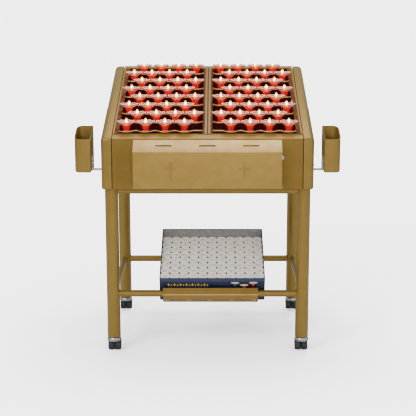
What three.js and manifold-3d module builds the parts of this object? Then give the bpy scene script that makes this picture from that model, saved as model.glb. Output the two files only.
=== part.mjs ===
// Votive candle rack: a sloping box body on four tube legs with twin-wheel casters. Two stepped trays of
// glass votive cups lift out of its top, a coin box hangs on its front, two open pockets stand at its
// sides, and a sloping shelf on the lower rails holds a carton of spare candles.
// Millimetres, +Z up, +Y towards the back, origin on the floor at the middle of the bounding box.

import * as THREE from 'three';
import { mergeVertices } from 'three/addons/utils/BufferGeometryUtils.js';
import Module from 'manifold-3d';

const wasm = await Module();
wasm.setup();

// ---------------------------------------------------------------- driving dimensions

// Body
const bodyWidth = 930; // over both cheeks
const bodyDepth = 700; // front face to back face
const bodyBottom = 763; // height of the underside
const frontHeight = 227; // front face, underside to top bend
const topSlope = 0.376; // rise of the top per unit of depth
const cheekWidth = 45;
const cheekRadius = 18; // rounded outer edges of a cheek
const skin = 2; // sheet of the body and the cheeks
const cheekGap = 3.3; // shadow gap between a cheek and the panels
const frontLip = 38; // top return of the front panel
const backLip = 28; // top return of the back panel
const gap = 0.3; // clearance between pieces that touch

// Candle trays
const rowCount = 8;
const cupsPerRow = 4;
const cupPitch = 85.4;
const rowPitch = 78;
const rowRise = 29.5;
const firstRowY = 77; // from the front face to the first row of cups
const firstTreadZ = 1011;
const oddRowStart = 102.5; // centre line of the rack to the innermost cup, rows 1, 3, 5, 7
const evenRowStart = 59.8; // the same for rows 2, 4, 6, 8
const trayGap = 7; // between the two trays
const trayMargin = 29.5; // flange at the outer end of the steps
const trayInnerMargin = 19.5; // flange at the inner end
const traySheet = 1.5;
const seatFront = 33; // cup centre to the front of its scalloped seat
const seatDepth = 18; // how far a seat bulges from the tread's straight edge
const seatHalf = 35; // half width of a seat
const riserSetback = 3; // riser behind the straight edge of the tread above it

// Cups
const cupHeight = 42;
const cupRimRadius = 40;
const cupFootRadius = 16;
const cupBowlRadius = 19.5;

// Legs and rails
const legRadius = 28.5;
const legWall = 2;
const legSideInset = 37.7; // leg centre to the outer face of a cheek
const legInset = 56.5; // leg centre to the front or back face
const legBottom = 71;
const railRadius = 14;
const railWall = 1.5;
const lowerRailZ = 272;

// Coin box
const coinWidth = 646;
const coinDepth = 48;
const coinSheet = 1.2;
const coinBottom = 776;
const coinFaceTop = 939; // top of the upright face, where the sloped lid starts
const coinBackTop = 984;
const coinSlot = { length: 72, width: 7, pitch: 190 };
const rodRadius = 3;
const lockRadius = 8;

// Side pockets
const pocketStandoff = 47; // outer face of a cheek to the pocket's inner wall
const pocketWidth = 71;
const pocketDepth = 112;
const pocketFront = 20;
const pocketBottom = 835;
const pocketRim = 981; // height of the rim at the front
const pocketSlope = 0.4;
const pocketWall = 2;
const pocketRadius = 24;

// Shelf and carton
const shelfWidth = 430;
const shelfOffset = 12; // the shelf hangs a little right of the middle
const shelfSheet = 2;
const shelfTilt = THREE.MathUtils.degToRad(18.6);
const cartonWidth = 475;
const cartonOffset = 20; // and the carton a little more
const cartonDepth = 346;
const cartonFrontHeight = 118.5;
const cartonBackHeight = 160; // its side walls slope from the back down to the front
const cartonWall = 3;
const cartonRailGap = 0.52; // front of the carton to the front lower rail
const cartonDrop = 45.5; // how far down its front the carton reaches below that rail's centre
const candleHeight = 114; // block of candles inside the carton

// Casters
const wheelRadius = 25;
const wheelWidth = 23;
const wheelSpacing = 30; // between the middles of the twin wheels
const casterTrail = 20; // axle behind the swivel stem
const axleRadius = 3;
const stemRadius = 5.5;
const crownRadius = 30.5;

// ---------------------------------------------------------------- derived dimensions

const frontMost = -coinDepth;
const centreY = (frontMost + bodyDepth) / 2;
const frontTop = bodyBottom + frontHeight;
const topZ = (y) => frontTop + topSlope * y;
const cheekInner = bodyWidth / 2 - cheekWidth;
const panelHalf = cheekInner - cheekGap;
const trayOuter = panelHalf;
const trayInner = trayGap / 2;
const trayFront = frontLip + 2 + gap;
const trayBack = bodyDepth - backLip - 1 - gap;
const stepOuter = trayOuter - trayMargin;
const stepInner = trayInner + trayInnerMargin;
const rowY = (row) => firstRowY + row * rowPitch;
const treadZ = (row) => firstTreadZ + row * rowRise;
const rowStart = (row) => (row % 2 === 0 ? oddRowStart : evenRowStart);
const straightEdge = seatFront - seatDepth;
const riserY = (row) => rowY(row) - straightEdge + riserSetback;
const legX = bodyWidth / 2 - legSideInset;
const backLegY = bodyDepth - legInset;
const upperRailZ = bodyBottom - gap - railRadius;
const axleZ = wheelRadius;
const pocketInner = bodyWidth / 2 + pocketStandoff;
const railReach = railRadius + cartonRailGap;
const cartonFoot = {
  y: legInset + railReach * Math.cos(shelfTilt) + cartonDrop * Math.sin(shelfTilt),
  z: lowerRailZ + railReach * Math.sin(shelfTilt) - cartonDrop * Math.cos(shelfTilt),
}; // lowest edge of the carton

// ---------------------------------------------------------------- finishes

const finish = (color, roughness, metalness) => () =>
  new THREE.MeshStandardMaterial({ color, roughness, metalness });
const goldPaint = finish(0x9a7b3c, 0.42, 0.35);
const darkSteel = finish(0x2b2220, 0.5, 0.4);
const zinc = finish(0xc9cdd0, 0.3, 0.9);
const steel = finish(0xb8b8b4, 0.35, 0.9);
const blackRubber = finish(0x1c1c1d, 0.7, 0);
const redGlass = finish(0xd8232a, 0.15, 0);
const navyBoard = finish(0x1c2b52, 0.55, 0);
const wax = finish(0xf2efe8, 0.6, 0);

// ---------------------------------------------------------------- geometry helpers

/** Turns a closed three.js geometry into a solid that can be joined and cut. */
function solid(geometry) {
  const bare = geometry.clone();
  bare.deleteAttribute('normal');
  bare.deleteAttribute('uv');
  const merged = mergeVertices(bare, 1e-4);
  const mesh = new wasm.Mesh({
    numProp: 3,
    vertProperties: Float32Array.from(merged.attributes.position.array),
    triVerts: Uint32Array.from(merged.index.array),
  });
  mesh.merge();
  return new wasm.Manifold(mesh);
}

/** Turns a solid back into a three.js geometry. */
function toGeometry(body) {
  const mesh = body.getMesh();
  const geometry = new THREE.BufferGeometry();
  geometry.setAttribute('position', new THREE.BufferAttribute(mesh.vertProperties, 3));
  geometry.setIndex(new THREE.BufferAttribute(mesh.triVerts, 1));
  return geometry;
}

const join = (...geometries) => toGeometry(geometries.map(solid).reduce((a, b) => a.add(b)));
const cut = (geometry, ...tools) =>
  toGeometry(tools.map(solid).reduce((a, b) => a.subtract(b), solid(geometry)));

/** A box between two corners. */
function block(x0, x1, y0, y1, z0, z1) {
  const box = new THREE.BoxGeometry(x1 - x0, y1 - y0, z1 - z0);
  return box.translate((x0 + x1) / 2, (y0 + y1) / 2, (z0 + z1) / 2);
}

/** Carries a shape's own x, y and depth to the axes named, such as 'yzx'. */
function toAxes(geometry, order) {
  const unit = { x: [1, 0, 0], y: [0, 1, 0], z: [0, 0, 1] };
  const axes = [...order].map((name) => new THREE.Vector3(...unit[name]));
  return geometry.applyMatrix4(new THREE.Matrix4().makeBasis(...axes));
}

const outline = (points) => new THREE.Shape(points.map(([u, v]) => new THREE.Vector2(u, v)));

/** Extrudes an outline of [y, z] points along X, from x0 to x1. */
function alongX(points, x0, x1) {
  const geometry = new THREE.ExtrudeGeometry(outline(points), { depth: x1 - x0, bevelEnabled: false });
  return toAxes(geometry.translate(0, 0, x0), 'yzx');
}

/** Extrudes an outline of [x, y] points along Z, from z0 to z1. */
function alongZ(points, z0, z1) {
  const geometry = new THREE.ExtrudeGeometry(outline(points), { depth: z1 - z0, bevelEnabled: false });
  return geometry.translate(0, 0, z0);
}

/** Points of an arc about (u, v), angles in degrees. */
function arc(u, v, radius, from, to, steps) {
  return Array.from({ length: steps + 1 }, (_, i) => {
    const angle = THREE.MathUtils.degToRad(from + ((to - from) * i) / steps);
    return [u + radius * Math.cos(angle), v + radius * Math.sin(angle)];
  });
}

/** Rounds every corner of a closed outline. */
function rounded(corners, radius, steps) {
  return corners.flatMap((corner, i) => {
    const here = new THREE.Vector2(...corner);
    const back = new THREE.Vector2(...corners.at(i - 1)).sub(here).normalize();
    const ahead = new THREE.Vector2(...corners[(i + 1) % corners.length]).sub(here).normalize();
    const reach = radius / Math.tan(Math.acos(back.dot(ahead)) / 2);
    const from = back.clone().multiplyScalar(reach);
    const to = ahead.clone().multiplyScalar(reach);
    const middle = from.clone().add(to).normalize();
    const centre = middle.multiplyScalar(Math.hypot(reach, radius));
    const start = from.clone().sub(centre).angle();
    const end = to.clone().sub(centre).angle();
    const turn = THREE.MathUtils.euclideanModulo(end - start + Math.PI, 2 * Math.PI) - Math.PI;
    return Array.from({ length: steps + 1 }, (_, k) => {
      const angle = start + (turn * k) / steps;
      return [here.x + centre.x + radius * Math.cos(angle), here.y + centre.y + radius * Math.sin(angle)];
    });
  });
}

/** Closed outline of a bent sheet whose middle line runs through the points. */
function bentSheet(points, thickness) {
  const side = (sign) =>
    points.map(([u, v], i) => {
      const before = points[Math.max(i - 1, 0)];
      const after = points[Math.min(i + 1, points.length - 1)];
      const first = new THREE.Vector2(u - before[0], v - before[1]).normalize();
      const second = new THREE.Vector2(after[0] - u, after[1] - v).normalize();
      if (first.length() === 0) first.copy(second);
      if (second.length() === 0) second.copy(first);
      const normal = new THREE.Vector2(-first.y - second.y, first.x + second.x).normalize();
      const lean = normal.dot(new THREE.Vector2(-first.y, first.x));
      const reach = (sign * thickness) / 2 / Math.max(lean, 0.3);
      return [u + normal.x * reach, v + normal.y * reach];
    });
  return [...side(1), ...side(-1).reverse()];
}

/** A ring or disc turned about the Z axis from a closed [radius, z] profile. */
function turned(profile, segments) {
  const points = profile.map(([r, z]) => new THREE.Vector2(r, z));
  return toAxes(new THREE.LatheGeometry(points, segments), 'yzx');
}

/** A plain cylinder along Z. */
const rod = (radius, z0, z1, segments) =>
  turned([[0, z0], [radius, z0], [radius, z1], [0, z1]], segments);

/** A tube along Z, open at both ends. */
const tube = (radius, wall, z0, z1, segments) => {
  const bore = radius - wall;
  return turned([[bore, z0], [radius, z0], [radius, z1], [bore, z1], [bore, z0]], segments);
};

const zToX = (geometry) => geometry.rotateY(Math.PI / 2);
const zToY = (geometry) => geometry.rotateX(-Math.PI / 2);

// ---------------------------------------------------------------- assembly

const rack = new THREE.Group();
rack.name = 'votive_candle_rack';
rack.position.y = -centreY;

function add(name, geometry, material, parent = rack) {
  const mesh = new THREE.Mesh(geometry, material());
  mesh.name = name;
  parent.add(mesh);
  return mesh;
}

const sides = [['left', -1], ['right', 1]];
const corners = sides.flatMap(([side, sx]) => [
  { name: `front_${side}`, x: sx * legX, y: legInset, inward: 1 },
  { name: `rear_${side}`, x: sx * legX, y: backLegY, inward: -1 },
]);

/** Places a geometry made for the right side, or its mirror image for the left. */
function mirrored(geometry, sx) {
  if (sx > 0) return geometry;
  return toGeometry(solid(geometry).mirror([1, 0, 0]));
}

// ---------------------------------------------------------------- legs and rails

function legs() {
  const height = bodyBottom - gap - legBottom;
  for (const corner of corners) {
    const bore = rod(legRadius - legWall, -1, height - 3, 20);
    const leg = cut(rod(legRadius, 0, height, 20), bore);
    add(`leg_${corner.name}`, leg, goldPaint).position.set(corner.x, corner.y, legBottom);
  }
}

/** A rail between two legs, its ends coped round them. */
function rail(name, length, z, alongAxis, x, y) {
  const half = length / 2;
  const coping = (end) => {
    const round = rod(legRadius + gap, -30, 30, 20);
    return alongAxis === 'x' ? round.translate(end * half, 0, 0) : round.translate(0, end * half, 0);
  };
  const turn = alongAxis === 'x' ? zToX : zToY;
  const pipe = turn(tube(railRadius, railWall, -half, half, 12));
  add(name, cut(pipe, coping(-1), coping(1)), goldPaint).position.set(x, y, z);
}

function rails() {
  rail('lower_rail_front', 2 * legX, lowerRailZ, 'x', 0, legInset);
  rail('lower_rail_rear', 2 * legX, lowerRailZ, 'x', 0, backLegY);
  for (const [side, sx] of sides) {
    rail(`lower_rail_${side}`, backLegY - legInset, lowerRailZ, 'y', sx * legX, bodyDepth / 2);
  }
  rail('upper_rail_front', 2 * legX, upperRailZ, 'x', 0, legInset);
  rail('upper_rail_rear', 2 * legX, upperRailZ, 'x', 0, backLegY);
}

// ---------------------------------------------------------------- body

/** The rounded block of one cheek, set in from its outside by a margin. */
function cheekBlock(inset) {
  const y0 = inset;
  const y1 = bodyDepth - inset;
  const drop = inset * Math.hypot(1, topSlope);
  const corners = [
    [y0, bodyBottom + inset], [y1, bodyBottom + inset], [y1, topZ(y1) - drop], [y0, topZ(y0) - drop],
  ];
  const radius = cheekRadius - inset;
  const depth = 2 * (cheekWidth - inset - radius);
  const geometry = new THREE.ExtrudeGeometry(outline(rounded(corners, radius + 3, 2)), {
    depth,
    bevelEnabled: true,
    bevelThickness: radius,
    bevelSize: radius,
    bevelOffset: -radius,
    bevelSegments: 3,
  });
  return toAxes(geometry.translate(0, 0, -depth / 2), 'yzx').translate(cheekInner, 0, 0);
}

function cheeks() {
  const inner = block(cheekInner - 100, cheekInner, -50, bodyDepth + 50, 0, 2000);
  for (const [side, sx] of sides) {
    add(`cheek_${side}`, mirrored(cut(cheekBlock(0), inner, cheekBlock(skin)), sx), goldPaint);
  }
}

function bodyPanels() {
  const h = skin / 2;
  const front = bentSheet([
    [26, bodyBottom + h], [h + 3, bodyBottom + h], [h, bodyBottom + h + 3],
    [h, frontTop - 6], [h + 1.5, frontTop - 2], [h + 5, topZ(5) - h],
    [frontLip - 2, topZ(frontLip - 2) - h], [frontLip, topZ(frontLip) - 4], [frontLip, frontTop - 8],
  ], skin);
  add('front_panel', alongX(front, -panelHalf, panelHalf), goldPaint);

  const back = bodyDepth - h;
  const lipStart = bodyDepth - backLip;
  const rear = bentSheet([
    [bodyDepth - 26, bodyBottom + h], [back - 3, bodyBottom + h], [back, bodyBottom + h + 3],
    [back, topZ(bodyDepth) - 9], [back - 3, topZ(back - 3) - h],
    [lipStart + 2, topZ(lipStart + 2) - h], [lipStart, topZ(lipStart) - 5], [lipStart, topZ(lipStart) - 22],
  ], skin);
  add('back_panel', alongX(rear, -panelHalf, panelHalf), goldPaint);

  const panZ = bodyBottom + skin + gap;
  const panInset = skin + 3 + gap; // clear of the bends of the panels
  const panWall = panInset + skin;
  const rim = 24;
  const tray = block(-panelHalf, panelHalf, panInset, bodyDepth - panInset, panZ, panZ + rim);
  const well = block(
    -panelHalf + skin, panelHalf - skin, panWall, bodyDepth - panWall, panZ + skin, panZ + rim + 5,
  );
  add('bottom_pan', cut(tray, well), darkSteel);
}

/** The sloping bars that the tray flanges rest on. */
function trayBearers() {
  const top = traySheet + 2 * gap;
  const deep = top + 12;
  const y0 = frontLip + 1 + gap;
  const y1 = bodyDepth - backLip - 1 - gap;
  const bar = [[y0, topZ(y0) - deep], [y1, topZ(y1) - deep], [y1, topZ(y1) - top], [y0, topZ(y0) - top]];
  for (const [side, sx] of sides) {
    const bearer = alongX(bar, trayOuter - 16, trayOuter - 1);
    add(`tray_bearer_${side}`, mirrored(bearer, sx), darkSteel);
  }
  add('tray_bearer_centre', alongX(bar, -trayInner - 10, trayInner + 10), darkSteel);
}

// ---------------------------------------------------------------- candle trays

/** Plan outline of one tread: scalloped at the front round each cup, straight at the riser. */
function treadOutline(row, x0, x1) {
  const y = rowY(row);
  const edge = y - straightEdge;
  const back = row === rowCount - 1 ? trayBack : riserY(row + 1) + traySheet;
  const radius = (seatHalf ** 2 + seatDepth ** 2) / (2 * seatDepth);
  const half = THREE.MathUtils.radToDeg(Math.asin(seatHalf / radius));
  const cupXs = Array.from({ length: cupsPerRow }, (_, i) => rowStart(row) + i * cupPitch);
  const seats = cupXs
    .flatMap((x) => arc(x, y - seatFront + radius, radius, -90 - half, -90 + half, 5))
    .filter(([x]) => x > x0 + 0.5 && x < x1 - 0.5);
  return [[x0, edge], ...seats, [x1, edge], [x1, back], [x0, back]];
}

/** A thin strip lying in the sloping plane of the top. */
function slopeStrip(x0, x1, y0, y1, drop = 0) {
  const strip = [
    [y0, topZ(y0) - drop - traySheet], [y1, topZ(y1) - drop - traySheet],
    [y1, topZ(y1) - drop], [y0, topZ(y0) - drop],
  ];
  return alongX(strip, x0, x1);
}

function trayGeometry() {
  const pieces = [
    slopeStrip(stepOuter, trayOuter, trayFront, trayBack),
    slopeStrip(trayInner, stepInner, trayFront, trayBack),
  ];
  const under = (y) => topZ(y) - 34;
  const wall = [
    [trayFront, under(trayFront) + 12], [trayBack, under(trayBack)],
    [trayBack, topZ(trayBack)], [trayFront, topZ(trayFront)],
  ];
  pieces.push(alongX(wall, stepOuter - traySheet, stepOuter));
  pieces.push(alongX(wall, stepInner, stepInner + traySheet));
  const x0 = stepInner + traySheet / 2;
  const x1 = stepOuter - traySheet / 2;
  for (let row = 0; row < rowCount; row += 1) {
    const z = treadZ(row);
    pieces.push(alongZ(treadOutline(row, x0, x1), z - traySheet, z));
    const foot = row === 0 ? z - 14 : treadZ(row - 1) - traySheet;
    pieces.push(block(x0, x1, riserY(row), riserY(row) + traySheet, foot, z - traySheet / 2));
  }
  const sillZ = treadZ(0) - 14;
  pieces.push(block(x0, x1, trayFront, riserY(0) + traySheet, sillZ - traySheet, sillZ));
  pieces.push(block(x0, x1, trayFront, trayFront + traySheet, sillZ - traySheet, topZ(trayFront)));
  const backFoot = treadZ(rowCount - 1) - traySheet;
  pieces.push(block(x0, x1, trayBack - traySheet, trayBack, backFoot, topZ(trayBack) - traySheet));
  return join(...pieces);
}

/** One tray's cups, joined rim to rim by short bars so that they are one solid. */
function cupsGeometry() {
  const profile = [
    [0, 0], [cupFootRadius, 0], [cupBowlRadius, 30], [cupRimRadius, cupHeight], [0, cupHeight],
  ];
  const pieces = [];
  const place = (row, i) =>
    new THREE.Vector3(rowStart(row) + i * cupPitch, rowY(row), treadZ(row) + gap);
  const bar = (a, b) => {
    const reach = new THREE.Vector3().subVectors(b, a);
    const overlap = 4; // how far a bar runs into each rim
    const flat = new THREE.Vector3(reach.x, reach.y, 0).normalize().multiplyScalar(cupRimRadius - overlap);
    const from = new THREE.Vector3().addVectors(a, flat).setZ(a.z + cupHeight - 1.5);
    const to = new THREE.Vector3().subVectors(b, flat).setZ(b.z + cupHeight - 1.5);
    const span = new THREE.Vector3().subVectors(to, from);
    const turn = new THREE.Quaternion();
    turn.setFromUnitVectors(new THREE.Vector3(1, 0, 0), span.clone().normalize());
    const link = new THREE.BoxGeometry(span.length(), 4, 2).applyQuaternion(turn);
    return link.translate(...from.add(to).multiplyScalar(0.5).toArray());
  };
  for (let row = 0; row < rowCount; row += 1) {
    for (let i = 0; i < cupsPerRow; i += 1) {
      pieces.push(turned(profile, 8).translate(...place(row, i).toArray()));
      if (i > 0) pieces.push(bar(place(row, i - 1), place(row, i)));
    }
    const odd = row % 2;
    if (row > 0) pieces.push(bar(place(row - 1, odd), place(row, 1 - odd)));
  }
  return join(...pieces);
}

function trays() {
  for (const [side, sx] of sides) {
    add(`candle_tray_${side}`, mirrored(trayGeometry(), sx), darkSteel);
    add(`votive_cups_${side}`, mirrored(cupsGeometry(), sx), redGlass);
  }
}

// ---------------------------------------------------------------- coin box

const rodY = frontMost + 6;
const rodZ = coinBottom + 6;
const lockY = frontMost / 2;
const lockZ = 910;

function coinCover() {
  const half = coinWidth / 2;
  const top = -1.5;
  const rise = (coinBackTop - coinFaceTop) / (top - frontMost);
  const profile = (inset, low, back) => [
    [frontMost + inset, low], [back, low], [back, coinFaceTop + rise * (back - frontMost) - 1.4 * inset],
    [frontMost + inset, coinFaceTop + rise * inset - 1.4 * inset],
  ];
  const outside = alongX(profile(0, coinBottom, top), -half, half);
  const inside = alongX(profile(coinSheet, coinBottom - 5, top + 5), coinSheet - half, half - coinSheet);
  const slope = Math.atan2(coinBackTop - coinFaceTop, top - frontMost);
  const slots = [-1, 0, 1].map((i) => {
    const slot = new THREE.BoxGeometry(coinSlot.length, coinSlot.width, 12).rotateX(slope);
    return slot.translate(i * coinSlot.pitch, (frontMost + top) / 2, (coinFaceTop + coinBackTop) / 2);
  });
  const pivot = zToX(rod(rodRadius + gap, -half - 5, half + 5, 12)).translate(0, rodY, rodZ);
  const keyhole = zToX(rod(lockRadius + gap, half - 5, half + 5, 12)).translate(0, lockY, lockZ);
  add('coin_box_cover', cut(outside, inside, pivot, keyhole, ...slots), goldPaint);
}

function coinTray() {
  const outer = coinWidth / 2 - coinSheet - 1;
  const low = coinBottom + 1;
  const back = -0.5;
  const trough = bentSheet([
    [frontMost + 10, low + 50], [frontMost + 10, low + 0.6], [back - 0.6, low + 0.6], [back - 0.6, low + 170],
  ], coinSheet);
  const nose = arc(rodY, rodZ, 4.6, 270, 180, 3);
  const end = [[back, low], [back, low + 80], [rodY - 4.6, low + 80], ...nose.reverse()];
  const endPlate = alongX(end, outer - coinSheet, outer);
  const pivot = zToX(rod(rodRadius + gap, -outer - 5, outer + 5, 12)).translate(0, rodY, rodZ);
  const inner = outer - coinSheet - gap;
  add('coin_box_tray', cut(alongX(trough, -inner, inner), pivot), darkSteel);
  for (const [side, sx] of sides) {
    add(`coin_box_tray_end_${side}`, mirrored(cut(endPlate, pivot), sx), darkSteel);
  }
}

function coinFittings() {
  const half = coinWidth / 2;
  const head = rod(6, half + gap, half + 4, 12);
  const tail = rod(6, -half - 4, -half - gap, 12);
  add('coin_box_hinge_rod', zToX(join(rod(rodRadius, -half - 2, half + 2, 12), head, tail)), zinc)
    .position.set(0, rodY, rodZ);
  const barrel = turned(
    [[0, half - 18], [lockRadius, half - 18], [lockRadius, half + gap], [9.8, half + gap], [9.8, half + 9],
      [0, half + 9]], 16,
  );
  add('coin_box_lock', zToX(barrel), steel).position.set(0, lockY, lockZ);
  const cam = alongX([[-6, -20], [6, -20], [8, 6], [-8, 6]], half - 18 - 2 - gap, half - 18 - gap);
  add('coin_box_lock_cam', cam, zinc).position.set(0, lockY, lockZ);
}

// ---------------------------------------------------------------- side pockets

/** Plan outline of a pocket, rounded at its outer corners, shrunk by an inset. */
function pocketOutline(inset) {
  const x0 = pocketInner + inset;
  const x1 = pocketInner + pocketWidth - inset;
  const y0 = pocketFront + inset;
  const y1 = pocketFront + pocketDepth - inset;
  const r = pocketRadius - inset;
  return [[x0, y0], ...arc(x1 - r, y0 + r, r, -90, 0, 4), ...arc(x1 - r, y1 - r, r, 0, 90, 4), [x0, y1]];
}

function pockets() {
  const rim = pocketRim - pocketBottom;
  const above = [
    [pocketFront - 20, pocketRim - 20 * pocketSlope],
    [pocketFront + pocketDepth + 20, pocketRim + (pocketDepth + 20) * pocketSlope],
    [pocketFront + pocketDepth + 20, pocketRim + 300], [pocketFront - 20, pocketRim + 300],
  ];
  for (const [side, sx] of sides) {
    const shell = cut(
      alongZ(pocketOutline(0), pocketBottom, pocketBottom + rim + 120),
      alongZ(pocketOutline(pocketWall), pocketBottom + pocketWall, pocketBottom + rim + 130),
      alongX(above, pocketInner - 20, pocketInner + pocketWidth + 20),
    );
    add(`side_pocket_${side}`, mirrored(shell, sx), goldPaint);
    const x0 = bodyWidth / 2 + gap;
    const x1 = pocketInner - gap;
    const footZ = pocketBottom + 4;
    const strap = bentSheet([
      [x0 + 1.25, footZ + 34], [x0 + 1.25, footZ + 1.25], [x1 - 1.25, footZ + 1.25], [x1 - 1.25, footZ + 60],
    ], 2.5);
    const bracket = toAxes(
      new THREE.ExtrudeGeometry(outline(strap), { depth: 30, bevelEnabled: false }), 'xzy',
    );
    const middle = pocketFront + pocketDepth / 2 - 15;
    const turnedOut = toGeometry(solid(flipped(bracket)).translate([0, middle, 0]));
    add(`pocket_bracket_${side}`, mirrored(turnedOut, sx), zinc);
  }
}

/** Reverses the faces of a geometry that a left-handed change of axes turned inside out. */
function flipped(geometry) {
  const indexed = mergeVertices(geometry);
  const index = indexed.index.array;
  for (let i = 0; i < index.length; i += 3) [index[i], index[i + 1]] = [index[i + 1], index[i]];
  return indexed;
}

// ---------------------------------------------------------------- shelf, carton and candles

const along = (u, w) => [
  cartonFoot.y + u * Math.cos(shelfTilt) - w * Math.sin(shelfTilt),
  cartonFoot.z + u * Math.sin(shelfTilt) + w * Math.cos(shelfTilt),
];

function shelf() {
  const half = shelfSheet / 2;
  const lift = half + gap;
  const hookFront = legInset - railRadius - 7;
  const profile = [
    [hookFront + 14, lowerRailZ + 27], [hookFront, lowerRailZ], [hookFront + 24, lowerRailZ - 28],
    along(-6, -lift - 6), along(12, -lift), along(cartonDepth + 6, -lift),
  ];
  const sheet = alongX(bentSheet(profile, shelfSheet), -shelfWidth / 2, shelfWidth / 2);
  add('candle_shelf', sheet, goldPaint).position.x = shelfOffset;

  const [topY, topZed] = along(cartonDepth + 2, -2 * lift - gap - 3);
  const stay = bentSheet([
    along(cartonDepth - 40, -2 * lift - 2), [topY, topZed], [backLegY - 4, lowerRailZ + railRadius + 14],
    [backLegY + railRadius + 2, lowerRailZ + railRadius + 2], [backLegY + railRadius + 2, lowerRailZ - 8],
  ], 3);
  for (const [side, sx] of sides) {
    add(`shelf_stay_${side}`, alongX(stay, -12, 12), goldPaint).position.x = shelfOffset + sx * 150;
  }
}

function carton() {
  const half = cartonWidth / 2;
  const tilted = (x0, x1, u0, u1, w0, w1) =>
    alongX([along(u0, w0), along(u1, w0), along(u1, w1), along(u0, w1)], x0, x1);
  const t = cartonWall;
  const side = [
    along(0, 0), along(cartonDepth, 0), along(cartonDepth, cartonBackHeight), along(0, cartonFrontHeight),
  ];
  const space = tilted(-half + t, half - t, t, cartonDepth - t, t, cartonBackHeight + 10);
  add('candle_carton', cut(alongX(side, -half, half), space), navyBoard).position.x = cartonOffset;
  const m = t + gap;
  const candles = tilted(-half + m, half - m, m, cartonDepth - m, m, m + candleHeight);
  add('spare_candles', candles, wax).position.x = cartonOffset;
}

// ---------------------------------------------------------------- casters

function casters() {
  for (const corner of corners) {
    const group = new THREE.Group();
    group.position.set(corner.x, corner.y, 0);
    rack.add(group);
    const name = `caster_${corner.name}`;
    const plug = turned([
      [stemRadius + gap, legBottom - gap - 3], [legRadius - 1, legBottom - gap - 3],
      [legRadius - 1, legBottom - gap],
      [legRadius - legWall - gap, legBottom - gap], [legRadius - legWall - gap, legBottom + 26],
      [stemRadius + gap, legBottom + 26], [stemRadius + gap, legBottom - gap - 3],
    ], 20);
    add(`${name}_socket`, plug, blackRubber, group);

    const top = legBottom - 2 * gap - 3;
    const crownFoot = 2 * wheelRadius + 1.6;
    const crown = turned([
      [0, crownFoot], [crownRadius, crownFoot], [crownRadius, top - 4], [crownRadius - 5, top], [0, top],
    ], 16);
    const stem = rod(stemRadius, top - 1, legBottom + 20, 20);
    const web = block(-2.5, 2.5, -8, casterTrail + 8, axleZ - 8, top - 3);
    const hood = wheelRadius + 3.4;
    const shield = alongX(
      [...arc(casterTrail, axleZ, hood, -10, 70, 5), ...arc(casterTrail, axleZ, hood - 2, 70, -10, 5)],
      -wheelSpacing / 2 - wheelWidth / 2, wheelSpacing / 2 + wheelWidth / 2,
    );
    const spine = block(-2.5, 2.5, casterTrail, casterTrail + hood - 1, axleZ - 4, axleZ + 4);
    const bore = zToX(rod(axleRadius + gap, -10, 10, 12)).translate(0, casterTrail, axleZ);
    add(`${name}_fork`, cut(join(crown, stem, web, shield, spine), bore), zinc, group);

    const reach = wheelSpacing / 2 + wheelWidth / 2;
    const axle = zToX(rod(axleRadius, -reach - 1, reach + 1, 10));
    add(`${name}_axle`, axle, steel, group).position.set(0, casterTrail, axleZ);
    const w = wheelWidth / 2;
    const bite = axleRadius + gap;
    const facets = 16; // the wheel stands on a flat, as a loaded tread does
    const tread = wheelRadius / Math.cos(Math.PI / facets);
    const wheel = turned([
      [bite, -w], [tread - 3, -w], [tread, -w + 3], [tread, w - 3], [tread - 3, w], [bite, w], [bite, -w],
    ], facets).rotateZ(Math.PI / facets);
    zToX(wheel);
    for (const [side, sx] of sides) {
      add(`${name}_wheel_${side}`, wheel.clone(), blackRubber, group)
        .position.set((sx * wheelSpacing) / 2, casterTrail, axleZ);
    }
  }
}

legs();
rails();
cheeks();
bodyPanels();
trayBearers();
trays();
coinCover();
coinTray();
coinFittings();
pockets();
shelf();
carton();
casters();

export default rack;
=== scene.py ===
"""Votive candle rack on casters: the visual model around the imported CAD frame.

A gold powder-coated box body holds two stepped trays of glass cups with lit candles. Lengths below are in
millimetres and measured from the front face of the body: x to the right, y towards the back, z up.
"""

import math

import bmesh
import bpy
from mathutils import Matrix, Vector


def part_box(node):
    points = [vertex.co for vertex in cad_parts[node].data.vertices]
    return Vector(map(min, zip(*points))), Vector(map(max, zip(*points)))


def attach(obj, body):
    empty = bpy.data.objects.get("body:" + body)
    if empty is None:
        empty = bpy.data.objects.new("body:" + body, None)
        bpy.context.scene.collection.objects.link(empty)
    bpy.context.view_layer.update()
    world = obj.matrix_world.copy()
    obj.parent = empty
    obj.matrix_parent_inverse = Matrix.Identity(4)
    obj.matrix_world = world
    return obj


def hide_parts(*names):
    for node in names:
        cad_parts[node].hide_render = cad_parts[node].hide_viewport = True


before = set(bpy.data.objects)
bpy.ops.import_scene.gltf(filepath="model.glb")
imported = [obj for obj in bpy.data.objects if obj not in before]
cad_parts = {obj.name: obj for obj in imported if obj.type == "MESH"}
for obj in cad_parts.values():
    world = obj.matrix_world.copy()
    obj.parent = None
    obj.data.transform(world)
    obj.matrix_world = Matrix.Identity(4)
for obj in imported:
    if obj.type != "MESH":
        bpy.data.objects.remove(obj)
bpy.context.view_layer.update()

# ------------------------------------------------------------------ sizes


def node_box(name):
    """Lowest and highest corner of a CAD node, in mm from the front face of the body."""
    low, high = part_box(name)
    return [Vector((c[0] * 1000, c[1] * 1000 - FRONT, c[2] * 1000)) for c in (low, high)]


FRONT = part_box("front_panel")[0][1] * 1000  # y of the body's front face in the frame

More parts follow.
